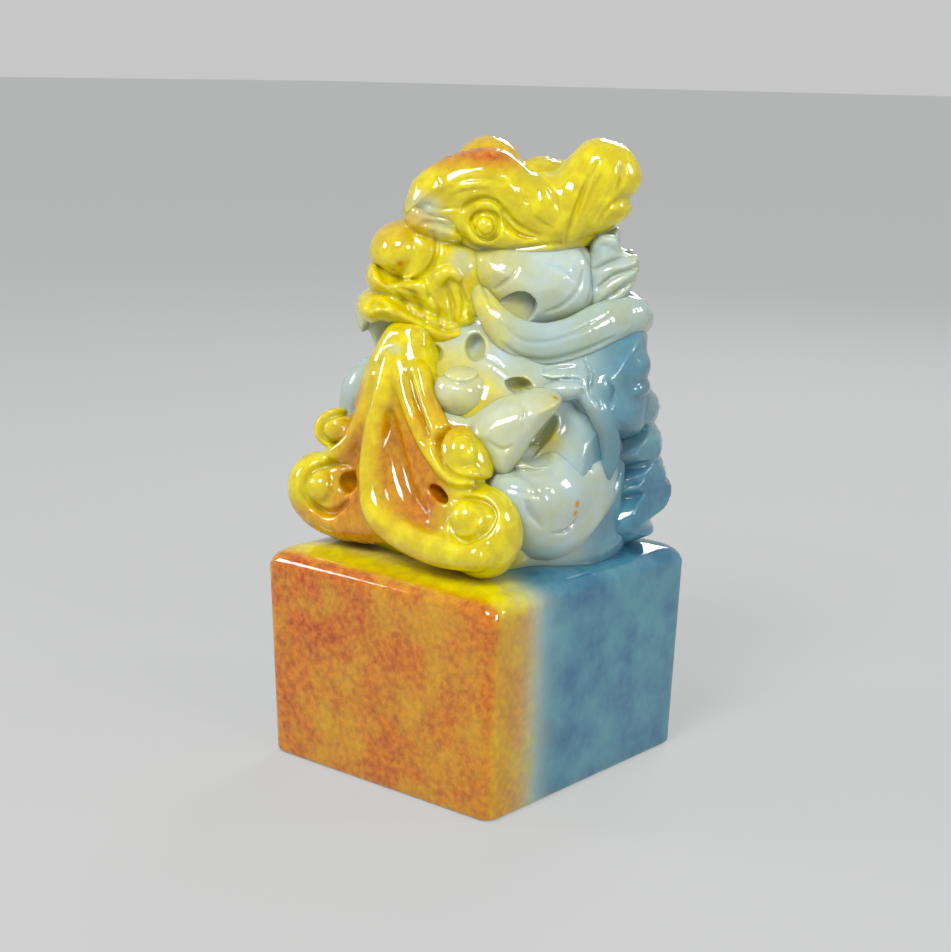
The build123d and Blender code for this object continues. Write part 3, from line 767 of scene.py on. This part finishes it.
def carve_near_haunch():
    """The haunch on the right face: a smooth swelling with a folded edge, and the foot below it."""
    clay = haunch_clay()
    clay.pillow_at([
        (540, 462), (552, 444), (566, 432), (584, 430), (600, 440), (607, 458), (607, 480),
        (600, 502), (586, 524), (568, 546), (544, 560), (520, 556), (504, 534), (496, 500),
        (504, 476), (524, 470)], 8.0, 3.2, 3.4, sink=3.6)
    clay.tube_at([
        (604, 436, 7.2, 0.8), (609, 460, 6.6, 1.1), (606, 484, 6.5, 1.2), (597, 508, 6.8, 1.1),
        (584, 530, 7.4, 0.8)], blend=0.3)
    clay.pillow_at([
        (560, 410), (572, 398), (586, 400), (598, 416), (608, 436), (612, 458), (606, 484),
        (590, 512), (572, 520), (578, 480), (580, 440)], 7.6, 2.2, 1.6, sink=3.0)
    clay.engrave_at([
        (582, 396, 0.6), (596, 412), (606, 434), (608, 458), (600, 486, 0.5)], 9.6, 0.45, 0.4)
    clay.engrave_at([
        (500, 466, 0.6), (514, 474), (534, 476), (552, 472, 0.8), (562, 464, 0.4)], 10.4, 0.5, 0.45)
    clay.engrave_at([(512, 486, 0.4), (530, 494), (552, 492, 0.5)], 10.8, 0.3, 0.14)
    clay.engrave_at([(562, 444, 0.4), (580, 452), (588, 470, 0.5)], 10.6, 0.3, 0.16)
    clay.engrave_at([(529, 502, 0.5), (533, 514), (540, 526, 0.5)], 10.4, 0.4, 0.3)
    clay.engrave_at([(546, 532, 0.5), (558, 528), (566, 516, 0.5)], 10.2, 0.35, 0.25)
    clay.pillow_at([
        (520, 456), (536, 436), (556, 410), (566, 424), (558, 444), (546, 462), (532, 466)], 9.0,
        4.0, 1.4, sink=1.6, blend=0.25, cut=True)
    clay.keep(HAUNCH_LOW, HAUNCH_HIGH, HAUNCH_ROUNDING)
    return clay


def carve_far_foreleg():
    """The far foreleg: its knee shows past the plume."""
    clay = Clay(SIDE_VIEW, (-15, 17, -9), (3, 36, 2), fine(0.16))
    clay.pillow_at([
        (392, 346), (374, 354), (356, 364), (346, 377), (343, 390), (345, 402), (353, 410),
        (372, 404), (400, 380), (410, 356)], -3.6, 1.9, 1.8)
    clay.tube_at([
        (360, 392, -3.8, 1.6), (356, 440, -3.6, 1.5), (360, 500, -3.2, 1.5), (350, 522, -3.0, 1.7)])
    return clay


def carve_plume():
    """The plume: a stem that flares into pleated folds and ends in four curls."""
    clay = Clay(
        PLUME_VIEW, (-12.5, -1.5, -5.5), (13.5, 19, 5.5), fine(0.14), PLUME_ORIGIN, PLUME_LEAN)
    web = [
        (398, 322), (380, 350), (370, 372), (363, 394), (356, 416), (346, 438), (330, 450),
        (312, 462), (300, 480), (298, 505), (312, 526), (336, 538), (366, 543), (396, 544),
        (420, 554), (450, 568), (480, 574), (496, 560), (496, 520), (484, 490), (470, 470),
        (458, 446), (450, 422), (443, 398), (436, 374), (430, 348), (424, 322)]
    clay.pillow_at(web, -0.9, 1.7, 1.6, sink=3.4)
    for crease in (
            [(404, 372, 0.4), (420, 404), (438, 434, 0.5)],
            [(376, 392, 0.4), (364, 420), (346, 444, 0.5)],
            [(396, 516, 0.4), (420, 536), (452, 548, 0.5)]):
        clay.engrave_at(crease, 1.2, 0.35, 0.3)
    for rib in (
            [(392, 362, 0.6, 0.9), (384, 400, 0.8, 1.0), (376, 440, 0.7, 1.1), (374, 480, 0.6, 1.2),
             (380, 512, 0.6, 1.3), (404, 534, 0.6, 1.3), (440, 550, 0.7, 1.3),
             (476, 556, 0.8, 1.2)],
            [(400, 366, 0.6, 0.8), (410, 400, 0.7, 0.8), (424, 434, 0.8, 0.8), (438, 458, 0.9, 0.8),
             (456, 474, 1.0, 0.8), (472, 476, 0.9, 0.7)],
            [(380, 376, 0.4, 0.9), (370, 406, 0.4, 0.9), (358, 436, 0.4, 0.9),
             (338, 452, 0.5, 0.8)],
            [(420, 372, 0.2, 0.8), (428, 404, 0.4, 0.9), (440, 432, 0.7, 0.9)]):
        clay.tube_at(rib, blend=0.5)
    for valley in (
            [(388, 402, 0.4), (396, 440), (402, 470, 1.3), (410, 494, 1.2), (424, 512, 0.8)],
            [(364, 430, 0.5), (352, 462), (346, 486)],
            [(412, 380, 0.4), (420, 410, 0.8), (432, 436, 0.6)]):
        clay.engrave_at(valley, 0.6, 1.2, 0.5)
    add_curls(clay)
    clay.ball_at(352, 482, 0.2, (1.0, 0.85, 1.6), blend=0.2, cut=True)
    clay.ball_at(441, 494, 0.4, (1.1, 0.5, 1.8), turn=-25, blend=0.2, cut=True)
    clay.keep((-11.8, -12.3, 16.5), (11.8, -3, 36), 1.2)
    return clay


def add_curls(clay):
    """The plume's four curls, each a round swelling with a groove round it, three with a button."""
    clay.ball_at(336, 428, -0.6, (1.95, 1.6, 1.6), turn=25, blend=0.5)
    clay.ball_at(317, 484, -0.5, (2.45, 2.7, 2.2), turn=-15, blend=0.5)
    clay.ball_at(464, 461, -0.6, (2.1, 2.9, 2.3), turn=35, blend=0.5)
    clay.ball_at(486, 532, -1.3, (2.75, 3.5, 3.0), turn=10, blend=0.6)
    for depth, groove in (
            (0.8, [(352, 409, 0.5), (336, 412), (323, 422), (321, 436), (331, 443, 0.8),
             (342, 436, 0.7), (345, 424, 0.6), (337, 420, 0.4)]),
            (1.4, [(340, 464, 0.4), (324, 463), (309, 472), (303, 490), (309, 506), (325, 512),
             (341, 501, 0.6)]),
            (1.2, [(444, 428, 0.5), (439, 444), (444, 462), (456, 476), (474, 480, 0.5)]),
            (1.2, [(452, 500, 0.4), (463, 499, 0.8), (476, 502), (484, 514), (482, 531), (470, 541),
             (456, 538, 0.9), (450, 524, 0.5)])):
        clay.engrave_at(groove, depth, 0.6, 0.55)
    clay.ball_at(323, 486, 0.6, (1.25, 1.3, 1.3), blend=0.2)
    clay.ball_at(466, 518, 0.9, (1.2, 1.3, 1.1), blend=0.2)
    clay.ball_at(462, 452, 1.0, (1.1, 1.3, 0.9), turn=30, blend=0.3)


def block_rings():
    """The block's outlines from foot to crown, each a height, an inset and a corner radius."""
    rings = [(height, inset, SIDE_CORNER) for height, inset in FOOT_RINGS]
    foot = FOOT_RINGS[-1][0]
    for step in range(1, FLARE_STEPS + 1):
        share = step / FLARE_STEPS
        rings.append((foot + (BLOCK_HEIGHT - foot - ROLL_HEIGHT) * share, FLARE * (1 - share),
                      SIDE_CORNER))
    for step in range(1, ROLL_STEPS + 1):
        turn = math.radians(ROLL_TURN) * step / ROLL_STEPS
        rings.append((BLOCK_HEIGHT - ROLL_HEIGHT * (1 - math.sin(turn)),
                      ROLL_INSET * (1 - math.cos(turn)), TOP_CORNER))
    for step in range(1, CROWN_STEPS + 1):
        share = step / CROWN_STEPS
        rings.append((BLOCK_HEIGHT + CROWN_RISE * (1 - (1 - share) ** CROWN_POWER),
                      CROWN_START + CROWN_RUN * share, TOP_CORNER))
    return rings


def block_mesh():
    """The block: flared sides, softened edges, a rolled top and a low crown."""
    rings = block_rings()
    points = []
    for height, inset, radius in rings:
        half = np.array((BLOCK_WIDTH / 2 - inset, BLOCK_DEPTH / 2 - inset))
        radius = min(radius, *(half * 0.9))
        corners = []
        for quarter, signs in enumerate(((1, 1), (-1, 1), (-1, -1), (1, -1))):
            turns = math.pi / 2 * (quarter + np.linspace(0, 1, CORNER_STEPS + 1))
            corners.append((half - radius) * signs
                           + radius * np.stack([np.cos(turns), np.sin(turns)], axis=1))
        for corner, following in zip(corners, corners[1:] + corners[:1]):
            side = np.linspace(corner[-1], following[0], SIDE_STEPS + 1)[1:-1]
            points += [(x, y, height) for x, y in (*corner, *side)]
    count = 4 * (CORNER_STEPS + SIDE_STEPS)
    faces = [tuple(reversed(range(count)))]
    for low in range(0, (len(rings) - 1) * count, count):
        for at in range(count):
            after = (at + 1) % count
            faces.append((low + at, low + after, low + count + after, low + count + at))
    faces.append(tuple(range((len(rings) - 1) * count, len(rings) * count)))
    return np.array(points) * MM, faces


PIECES = {
    "head": (carve_head, ("skull", "near_brow", "far_brow", "near_eye", "far_eye", "near_horn",
                          "far_horn")),
    "muzzle": (carve_muzzle, ("nose", "upper_lip", "lower_jaw")),
    "beard": (carve_beard, ("beard",)),
    "near_cheek": (carve_near_cheek, ("near_cheek",)),
    "near_whisker": (carve_near_whisker, ("near_whisker",)),
    "near_mane_fin": (carve_near_fin, ("near_mane_fin",)),
    "mane": (carve_mane, ("mane",)),
    "back": (carve_back, ("back_lobe_1", "back_lobe_2", "back_lobe_3", "back_lobe_4")),
    "torso": (carve_torso, ("torso", "chest", "neck")),
    "pearl": (carve_pearl, ("pearl",)),
    "near_foreleg": (carve_near_foreleg, ("near_foreleg", "near_forepaw")),
    "near_haunch": (carve_near_haunch, ("near_haunch", "near_hind_foot")),
    "far_foreleg": (carve_far_foreleg, ("far_foreleg", "far_forepaw")),
    "plume": (carve_plume, ("plume_web", "plume_scroll_low_left", "plume_scroll_high_left",
                            "plume_scroll_low_right", "plume_scroll_high_right")),
}
MIRRORED = {"near_cheek": "far_cheek", "near_whisker": "far_whisker",
            "near_mane_fin": "far_mane_fin"}


def mirrored(points):
    """Points moved to the beast's far side."""
    near = beast_axes()[1]
    return points - 2 * (points @ near)[:, None] * near


def swapped_sides(points):
    """Points moved from the block's +X side to its +Y side."""
    stretch = BLOCK_DEPTH / BLOCK_WIDTH
    return np.stack([points[:, 1] / stretch, points[:, 0] * stretch, points[:, 2]], axis=1)


def ramp(value, start, end):
    """How far a value has gone from one mark to another, with soft ends."""
    share = np.clip((value - start) / (end - start), 0, 1)
    return share * share * (3 - 2 * share)


def near_spot(points, x, y, depth, radius):
    """1 close to where a pixel is seen and 0 beyond a radius from there."""
    place, ray = camera_axes()[0], rays(np.array([(x, y)], float))[0]
    near = beast_axes()[1]
    centre = place + ray * ((depth - place @ near) / (ray @ near))
    return ramp(np.linalg.norm(points - centre, axis=1), radius, SPOT_CORE * radius)


def stone_zones(name, points):
    """Shares of yellow skin, russet skin and blue body, as the rough stone's layers ran.

    Each ramp runs between two marks in millimetres, along an axis of the row frame, along the
    beast from front to back, towards its near side, or out from the plume. Holes and hollows
    also get painted shade: an olive tint added through the yellow skin share.
    """
    x, y, z = points.T
    along, near = (points @ axis for axis in beast_axes())
    skin, rust, blue = (np.full(len(points), share) for share in ZONE_SHARES[name])
    if name == "seal_block":
        skin = ramp(y, -5.8, -10.8)
        stained = 0.9 + 0.3 * ramp(x, 4, -11) * ramp(z, 8, 17)
        rust = np.maximum(ramp(y, -11.0, -12.3) * stained * ramp(z, 17.9, 16.9),
                          0.62 * ramp(y, -6.6, -9.4) * ramp(z, 17.0, 15.4))
        blue = ramp(y, -12.5, -3.0 - 2.0 * ramp(z, 16.0, 18.0))
    elif name == "plume":
        lean = math.radians(PLUME_LEAN)
        out = (PLUME_ORIGIN[1] - y) * math.cos(lean) + (z - PLUME_ORIGIN[2]) * math.sin(lean)
        folds = 0.85 * ramp(out, 2.2, 0.5) * ramp(np.abs(x + 1.0), 7.5, 4.5)
        rust = np.maximum(folds * ramp(z, 33.5, 28.0),
                          0.55 * ramp(z, 21.8, 20.2) * ramp(x, 3.0, -1.0))
    elif name == "head":
        skin = 0.25 + 0.75 * ramp(z, 40.9, 42.5)
        rust = ramp(z, 47.2, 49.0) * ramp(along, 4.6, 2.0) * (0.35 + 0.65 * ramp(near, -1.0, 1.5))
    elif name == "muzzle":
        skin = ramp(along, 1.6, -1.2)
        rust = 0.35 * ramp(z, 41.0, 43.5) * ramp(along, -2.5, -5.0)
    elif name == "torso":
        skin = 0.95 * ramp(y, -3.5, -6.5)
        blue = 0.9 * ramp(along, 4.5, 10.0)
    elif name == "mane":
        blue = 0.2 + 0.7 * ramp(along, 4.5, 11.0)
    elif name == "back":
        blue = 0.8 + 0.2 * ramp(z, 32, 20)
    elif name.endswith(("cheek", "whisker")):
        skin = 0.6 * ramp(along, 4.5, 0.0)
    elif name.endswith("haunch"):
        blue = 0.2 + 0.6 * ramp(y if name.startswith("near") else x, 0.5, 5.0)
    for spot in RUST_SPOTS:
        rust = np.maximum(rust, RUST_SHARE * near_spot(points, *spot))
        skin = np.maximum(skin, RUST_SHARE * near_spot(points, *spot))
    for spot in PALE_SPOTS:
        skin = skin * (1 - PALE_SHARE * near_spot(points, *spot))
    # Painted shade: holes and hollows take an olive tint, through the yellow skin share, for the
    # shade in them
    for spot in HOLLOW_SHADE_SPOTS:
        skin = np.maximum(skin, HOLLOW_SHADE_SHARE * near_spot(points, *spot))
    return np.clip(np.stack([skin, rust, blue, np.ones(len(points))], axis=1), 0, 1)


def add_piece(name, points, faces, nodes, stone):
    """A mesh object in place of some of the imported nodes."""
    mesh = bpy.data.meshes.new("carved_" + name)
    mesh.from_pydata(points.tolist(), [], faces)
    zones = mesh.attributes.new(ZONES, "FLOAT_COLOR", "POINT")
    zones.data.foreach_set("color", stone_zones(name, points / MM).astype(np.float32).ravel())
    mesh.shade_smooth()
    mesh.materials.append(stone)
    piece = bpy.data.objects.new("carved_" + name, mesh)
    bpy.context.scene.collection.objects.link(piece)
    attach(piece, BODY)
    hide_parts(*nodes)


def make_group(names):
    """Carves the forms of one group and adds their meshes, and what mirrors them."""
    stone = jade_material()
    for name in names:
        if name == "seal_block":
            add_piece(name, *block_mesh(), (name,), stone)
            continue
        carve, nodes = PIECES[name]
        points, faces = carve().mesh()
        add_piece(name, points, faces.tolist(), nodes, stone)
        if name in MIRRORED:
            far = MIRRORED[name]
            add_piece(far, mirrored(points), faces[:, ::-1].tolist(), (far,), stone)
        if name == "near_haunch":
            points, faces = carve_far_haunch().mesh()
            add_piece("far_haunch", swapped_sides(points), faces[:, ::-1].tolist(),
                      ("far_haunch", "far_hind_foot"), stone)


def add_camera():
    """The photograph's camera."""
    data = bpy.data.cameras.new("photo_camera")
    data.lens = CAMERA_LENS
    data.clip_start, data.clip_end = SIGHT_START, SIGHT_END
    cam = bpy.data.objects.new("photo_camera", data)
    bpy.context.scene.collection.objects.link(cam)
    place, right, up, back = camera_axes()
    turn = Matrix((right, up, back)).transposed().to_4x4()
    cam.matrix_world = Matrix.Translation(Vector(place) * MM) @ turn
    bpy.context.scene.camera = cam


def add_lamp(name, place, size, watts):
    """A soft square lamp that faces the seal."""
    data = bpy.data.lights.new(name, "AREA")
    data.size = size
    data.energy = watts
    lamp = bpy.data.objects.new(name, data)
    bpy.context.scene.collection.objects.link(lamp)
    lamp.location = place
    lamp.rotation_euler = (Vector(LAMP_AIM) - Vector(place)).to_track_quat("-Z", "Y").to_euler()


def linear(code):
    """A linear colour from an sRGB hex code."""
    values = [int(code[at:at + 2], 16) / 255 for at in (1, 3, 5)]
    return (*(v / 12.92 if v <= 0.04045 else ((v + 0.055) / 1.055) ** 2.4 for v in values), 1.0)


def add_node(tree, kind, settings=None, inputs=None, links=None):
    """Adds a node, sets its fields and sockets and links other nodes' outputs to it."""
    made = tree.nodes.new(kind)
    for name, value in (settings or {}).items():
        setattr(made, name, value)
    for name, value in (inputs or {}).items():
        made.inputs[name].default_value = value
    for name, output in (links or {}).items():
        tree.links.new(output, made.inputs[name])
    return made


def mix_colours(tree, factor, first, second):
    """A blend of two colours, each a socket or an sRGB hex code."""
    mix = add_node(tree, "ShaderNodeMix", {"data_type": "RGBA"}, {}, {"Factor": factor})
    for at, colour in ((6, first), (7, second)):
        if isinstance(colour, str):
            mix.inputs[at].default_value = linear(colour)
        else:
            tree.links.new(colour, mix.inputs[at])
    return mix.outputs[2]


def noise(tree, place, scale, detail, low, high):
    """Cloudy noise, stretched so that low gives 0 and high gives 1."""
    cloud = add_node(tree, "ShaderNodeTexNoise", {},
                     {"Scale": scale, "Detail": detail, "Roughness": NOISE_ROUGHNESS},
                     {"Vector": place})
    return add_node(tree, "ShaderNodeMapRange", {}, {"From Min": low, "From Max": high},
                    {"Value": cloud.outputs["Fac"]}).outputs["Result"]


def arithmetic(tree, operation, first, second, third=None):
    """A sum or product of sockets and numbers."""
    made = add_node(tree, "ShaderNodeMath", {"operation": operation, "use_clamp": True})
    for at, value in enumerate((first, second, third)):
        if isinstance(value, (int, float)):
            made.inputs[at].default_value = value
        elif value is not None:
            tree.links.new(value, made.inputs[at])
    return made.outputs[0]


def jade_material():
    """Polished jadeite: light travels a little way into it, so edges glow softly, and its glassy
    polish mirrors the lamps. One stone runs from yellow and russet skin to a pale and blue body."""
    if "polished_jadeite" in bpy.data.materials:
        return bpy.data.materials["polished_jadeite"]
    stone = bpy.data.materials.new("polished_jadeite")
    stone.use_nodes = True
    tree = stone.node_tree
    shader = tree.nodes["Principled BSDF"]
    settings = bpy.context.scene.seal_settings
    shader.inputs["Roughness"].default_value = settings.roughness
    shader.inputs["IOR"].default_value = JADEITE_IOR
    shader.inputs["Subsurface Weight"].default_value = settings.translucency
    shader.inputs["Subsurface Radius"].default_value = TRAVEL_SHARES
    shader.inputs["Subsurface Scale"].default_value = LIGHT_TRAVEL * MM
    metres = add_node(tree, "ShaderNodeTexCoord").outputs["Object"]
    place = add_node(tree, "ShaderNodeVectorMath", {"operation": "SCALE"}, {"Scale": 1 / MM},
                     {0: metres}).outputs["Vector"]
    zones = add_node(tree, "ShaderNodeAttribute", {"attribute_name": ZONES}).outputs["Color"]
    parts = add_node(tree, "ShaderNodeSeparateColor", {}, {}, {"Color": zones}).outputs
    clouds, grain, veins = (noise(tree, place, *kind) for kind in (CLOUDS, GRAIN, VEINS))
    pale = mix_colours(tree, clouds, *PALE_STONE)
    blue = mix_colours(tree, clouds, *BLUE_STONE)
    yellow = mix_colours(tree, veins, *YELLOW_SKIN)
    russet = mix_colours(tree, grain, *RUSSET_SKIN)
    cloudy = arithmetic(tree, "MULTIPLY_ADD", clouds, CLOUDY_BLUE, parts["Blue"])
    body = mix_colours(tree, parts["Blue"], pale, mix_colours(tree, cloudy, pale, blue))
    ragged = arithmetic(tree, "MULTIPLY_ADD", veins, RAGGED_SKIN, -RAGGED_SKIN / 2)
    ragged = arithmetic(tree, "MULTIPLY", parts["Red"], ragged)
    skin = arithmetic(tree, "ADD", parts["Red"], ragged)
    stained = arithmetic(tree, "MULTIPLY_ADD", clouds, STAIN_CLOUDS, STAIN_LEAST)
    stain = arithmetic(tree, "MULTIPLY", parts["Green"], stained)
    colour = mix_colours(tree, stain, mix_colours(tree, skin, body, yellow), russet)
    tree.links.new(colour, shader.inputs["Base Color"])
    ripple = add_node(tree, "ShaderNodeTexNoise", {},
                      {"Scale": RIPPLE_SCALE, "Detail": RIPPLE_DETAIL}, {"Vector": place})
    bump = add_node(tree, "ShaderNodeBump", {},
                    {"Strength": RIPPLE_STRENGTH, "Distance": RIPPLE_HEIGHT * MM},
                    {"Height": ripple.outputs["Fac"]})
    tree.links.new(bump.outputs["Normal"], shader.inputs["Normal"])
    return stone


def seen_rays(tree):
    """1 for the rays by which the eye, a polish or glass sees the backdrop."""
    path = add_node(tree, "ShaderNodeLightPath").outputs
    seen = arithmetic(tree, "MAXIMUM", path["Is Camera Ray"], path["Is Glossy Ray"])
    return arithmetic(tree, "MAXIMUM", seen, path["Is Transmission Ray"])


def add_floor():
    """A plain pale floor that keeps the seal's shadow."""
    half = FLOOR_SIZE / 2
    mesh = bpy.data.meshes.new("floor")
    mesh.from_pydata([(-half, -half, 0), (half, -half, 0), (half, half, 0), (-half, half, 0)], [],
                     [(0, 1, 2, 3)])
    floor = bpy.data.objects.new("floor", mesh)
    bpy.context.scene.collection.objects.link(floor)
    # Matt card: it spreads light evenly and shows no shine
    card = bpy.data.materials.new("matt_card")
    card.use_nodes = True
    tree = card.node_tree
    paper = tree.nodes["Principled BSDF"]
    paper.inputs["Base Color"].default_value = linear(BACKDROP)
    paper.inputs["Roughness"].default_value = CARD_ROUGHNESS
    even = add_node(tree, "ShaderNodeEmission", {}, {"Color": linear(BACKDROP)}).outputs[0]
    seen = arithmetic(tree, "MULTIPLY", seen_rays(tree), UNLIT_SHARE)
    mix = add_node(tree, "ShaderNodeMixShader", {}, {}, {0: seen, 1: paper.outputs[0], 2: even})
    tree.links.new(mix.outputs[0], tree.nodes["Material Output"].inputs["Surface"])
    mesh.materials.append(card)


def add_world():
    """A pale backdrop for the eye and for reflections, and a dimmer one that lights the stone."""
    world = bpy.data.worlds.new("studio")
    bpy.context.scene.world = world
    world.use_nodes = True
    tree = world.node_tree
    background = tree.nodes["Background"]
    tree.links.new(mix_colours(tree, seen_rays(tree), ROOM_LIGHT, BACKDROP),
                   background.inputs["Color"])
    background.inputs["Strength"].default_value = 1.0


class SealSettings(bpy.types.PropertyGroup):
    """What a user may set before the seal is built."""
    roughness: bpy.props.FloatProperty(
        name="Polish roughness", description="Roughness of the polished stone", default=0.06,
        min=0.0, max=1.0)
    translucency: bpy.props.FloatProperty(
        name="Translucency", description="How much light travels in the stone", default=0.75,
        min=0.0, max=1.0)
    lamp_size: bpy.props.FloatProperty(
        name="Lamp size", description="Side of each square lamp", default=0.09, min=0.01,
        unit="LENGTH")


class FormGroup:
    """Shared by the operators that carve: what they build is named in group."""
    bl_options = {"REGISTER", "UNDO"}
    group = ()

    def execute(self, context):
        make_group(self.group)
        return {"FINISHED"}


class SEAL_OT_block(FormGroup, bpy.types.Operator):
    """Adds the block with its rolled edges and low crown"""
    bl_idname = "seal.block"
    bl_label = "Block"
    group = ("seal_block",)


class SEAL_OT_trunk(FormGroup, bpy.types.Operator):
    """Carves the trunk, the mane and the lobes down the back"""
    bl_idname = "seal.trunk"
    bl_label = "Trunk"
    group = ("torso", "mane", "back")


class SEAL_OT_head(FormGroup, bpy.types.Operator):
    """Carves the head with its snout, beard, cheeks, whiskers and fins"""
    bl_idname = "seal.head"
    bl_label = "Head"
    group = ("head", "muzzle", "beard", "near_cheek", "near_whisker", "near_mane_fin")


class SEAL_OT_legs(FormGroup, bpy.types.Operator):
    """Carves the legs and the pearl under the near forepaw"""
    bl_idname = "seal.legs"
    bl_label = "Legs"
    group = ("pearl", "near_foreleg", "near_haunch", "far_foreleg")


class SEAL_OT_plume(FormGroup, bpy.types.Operator):
    """Carves the pleated plume with its four curls"""
    bl_idname = "seal.plume"
    bl_label = "Plume"
    group = ("plume",)


class SEAL_OT_stage(bpy.types.Operator):
    """Adds the camera, the lamps, the backdrop and the floor"""
    bl_idname = "seal.stage"
    bl_label = "Stage"

    def execute(self, context):
        context.scene.view_settings.view_transform = "Standard"
        add_camera()
        size = context.scene.seal_settings.lamp_size
        for name, place, size_share, watts in LAMPS:
            add_lamp(name, place, size * size_share, watts)
        add_world()
        add_floor()
        return {"FINISHED"}


class SEAL_PT_panel(bpy.types.Panel):
    """Buttons that build the seal"""
    bl_idname = "SEAL_PT_panel"
    bl_label = "Jade seal stamp"
    bl_space_type = "VIEW_3D"
    bl_region_type = "UI"
    bl_category = "Seal"

    def draw(self, context):
        settings = context.scene.seal_settings
        for name in ("roughness", "translucency", "lamp_size"):
            self.layout.prop(settings, name)
        for step in STEPS:
            self.layout.operator(step.bl_idname)


STEPS = (SEAL_OT_block, SEAL_OT_trunk, SEAL_OT_head, SEAL_OT_legs, SEAL_OT_plume, SEAL_OT_stage)
CLASSES = (SealSettings, *STEPS, SEAL_PT_panel)


def register():
    """Registers the classes and the scene's settings."""
    for made in CLASSES:
        bpy.utils.register_class(made)
    bpy.types.Scene.seal_settings = bpy.props.PointerProperty(type=SealSettings)


def unregister():
    """Takes the settings and classes away again."""
    del bpy.types.Scene.seal_settings
    for made in reversed(CLASSES):
        bpy.utils.unregister_class(made)


def main():
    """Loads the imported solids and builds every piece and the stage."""
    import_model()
    register()
    bpy.ops.seal.block()
    bpy.ops.seal.trunk()
    bpy.ops.seal.head()
    bpy.ops.seal.legs()
    bpy.ops.seal.plume()
    bpy.ops.seal.stage()


if __name__ == "__main__":
    main()
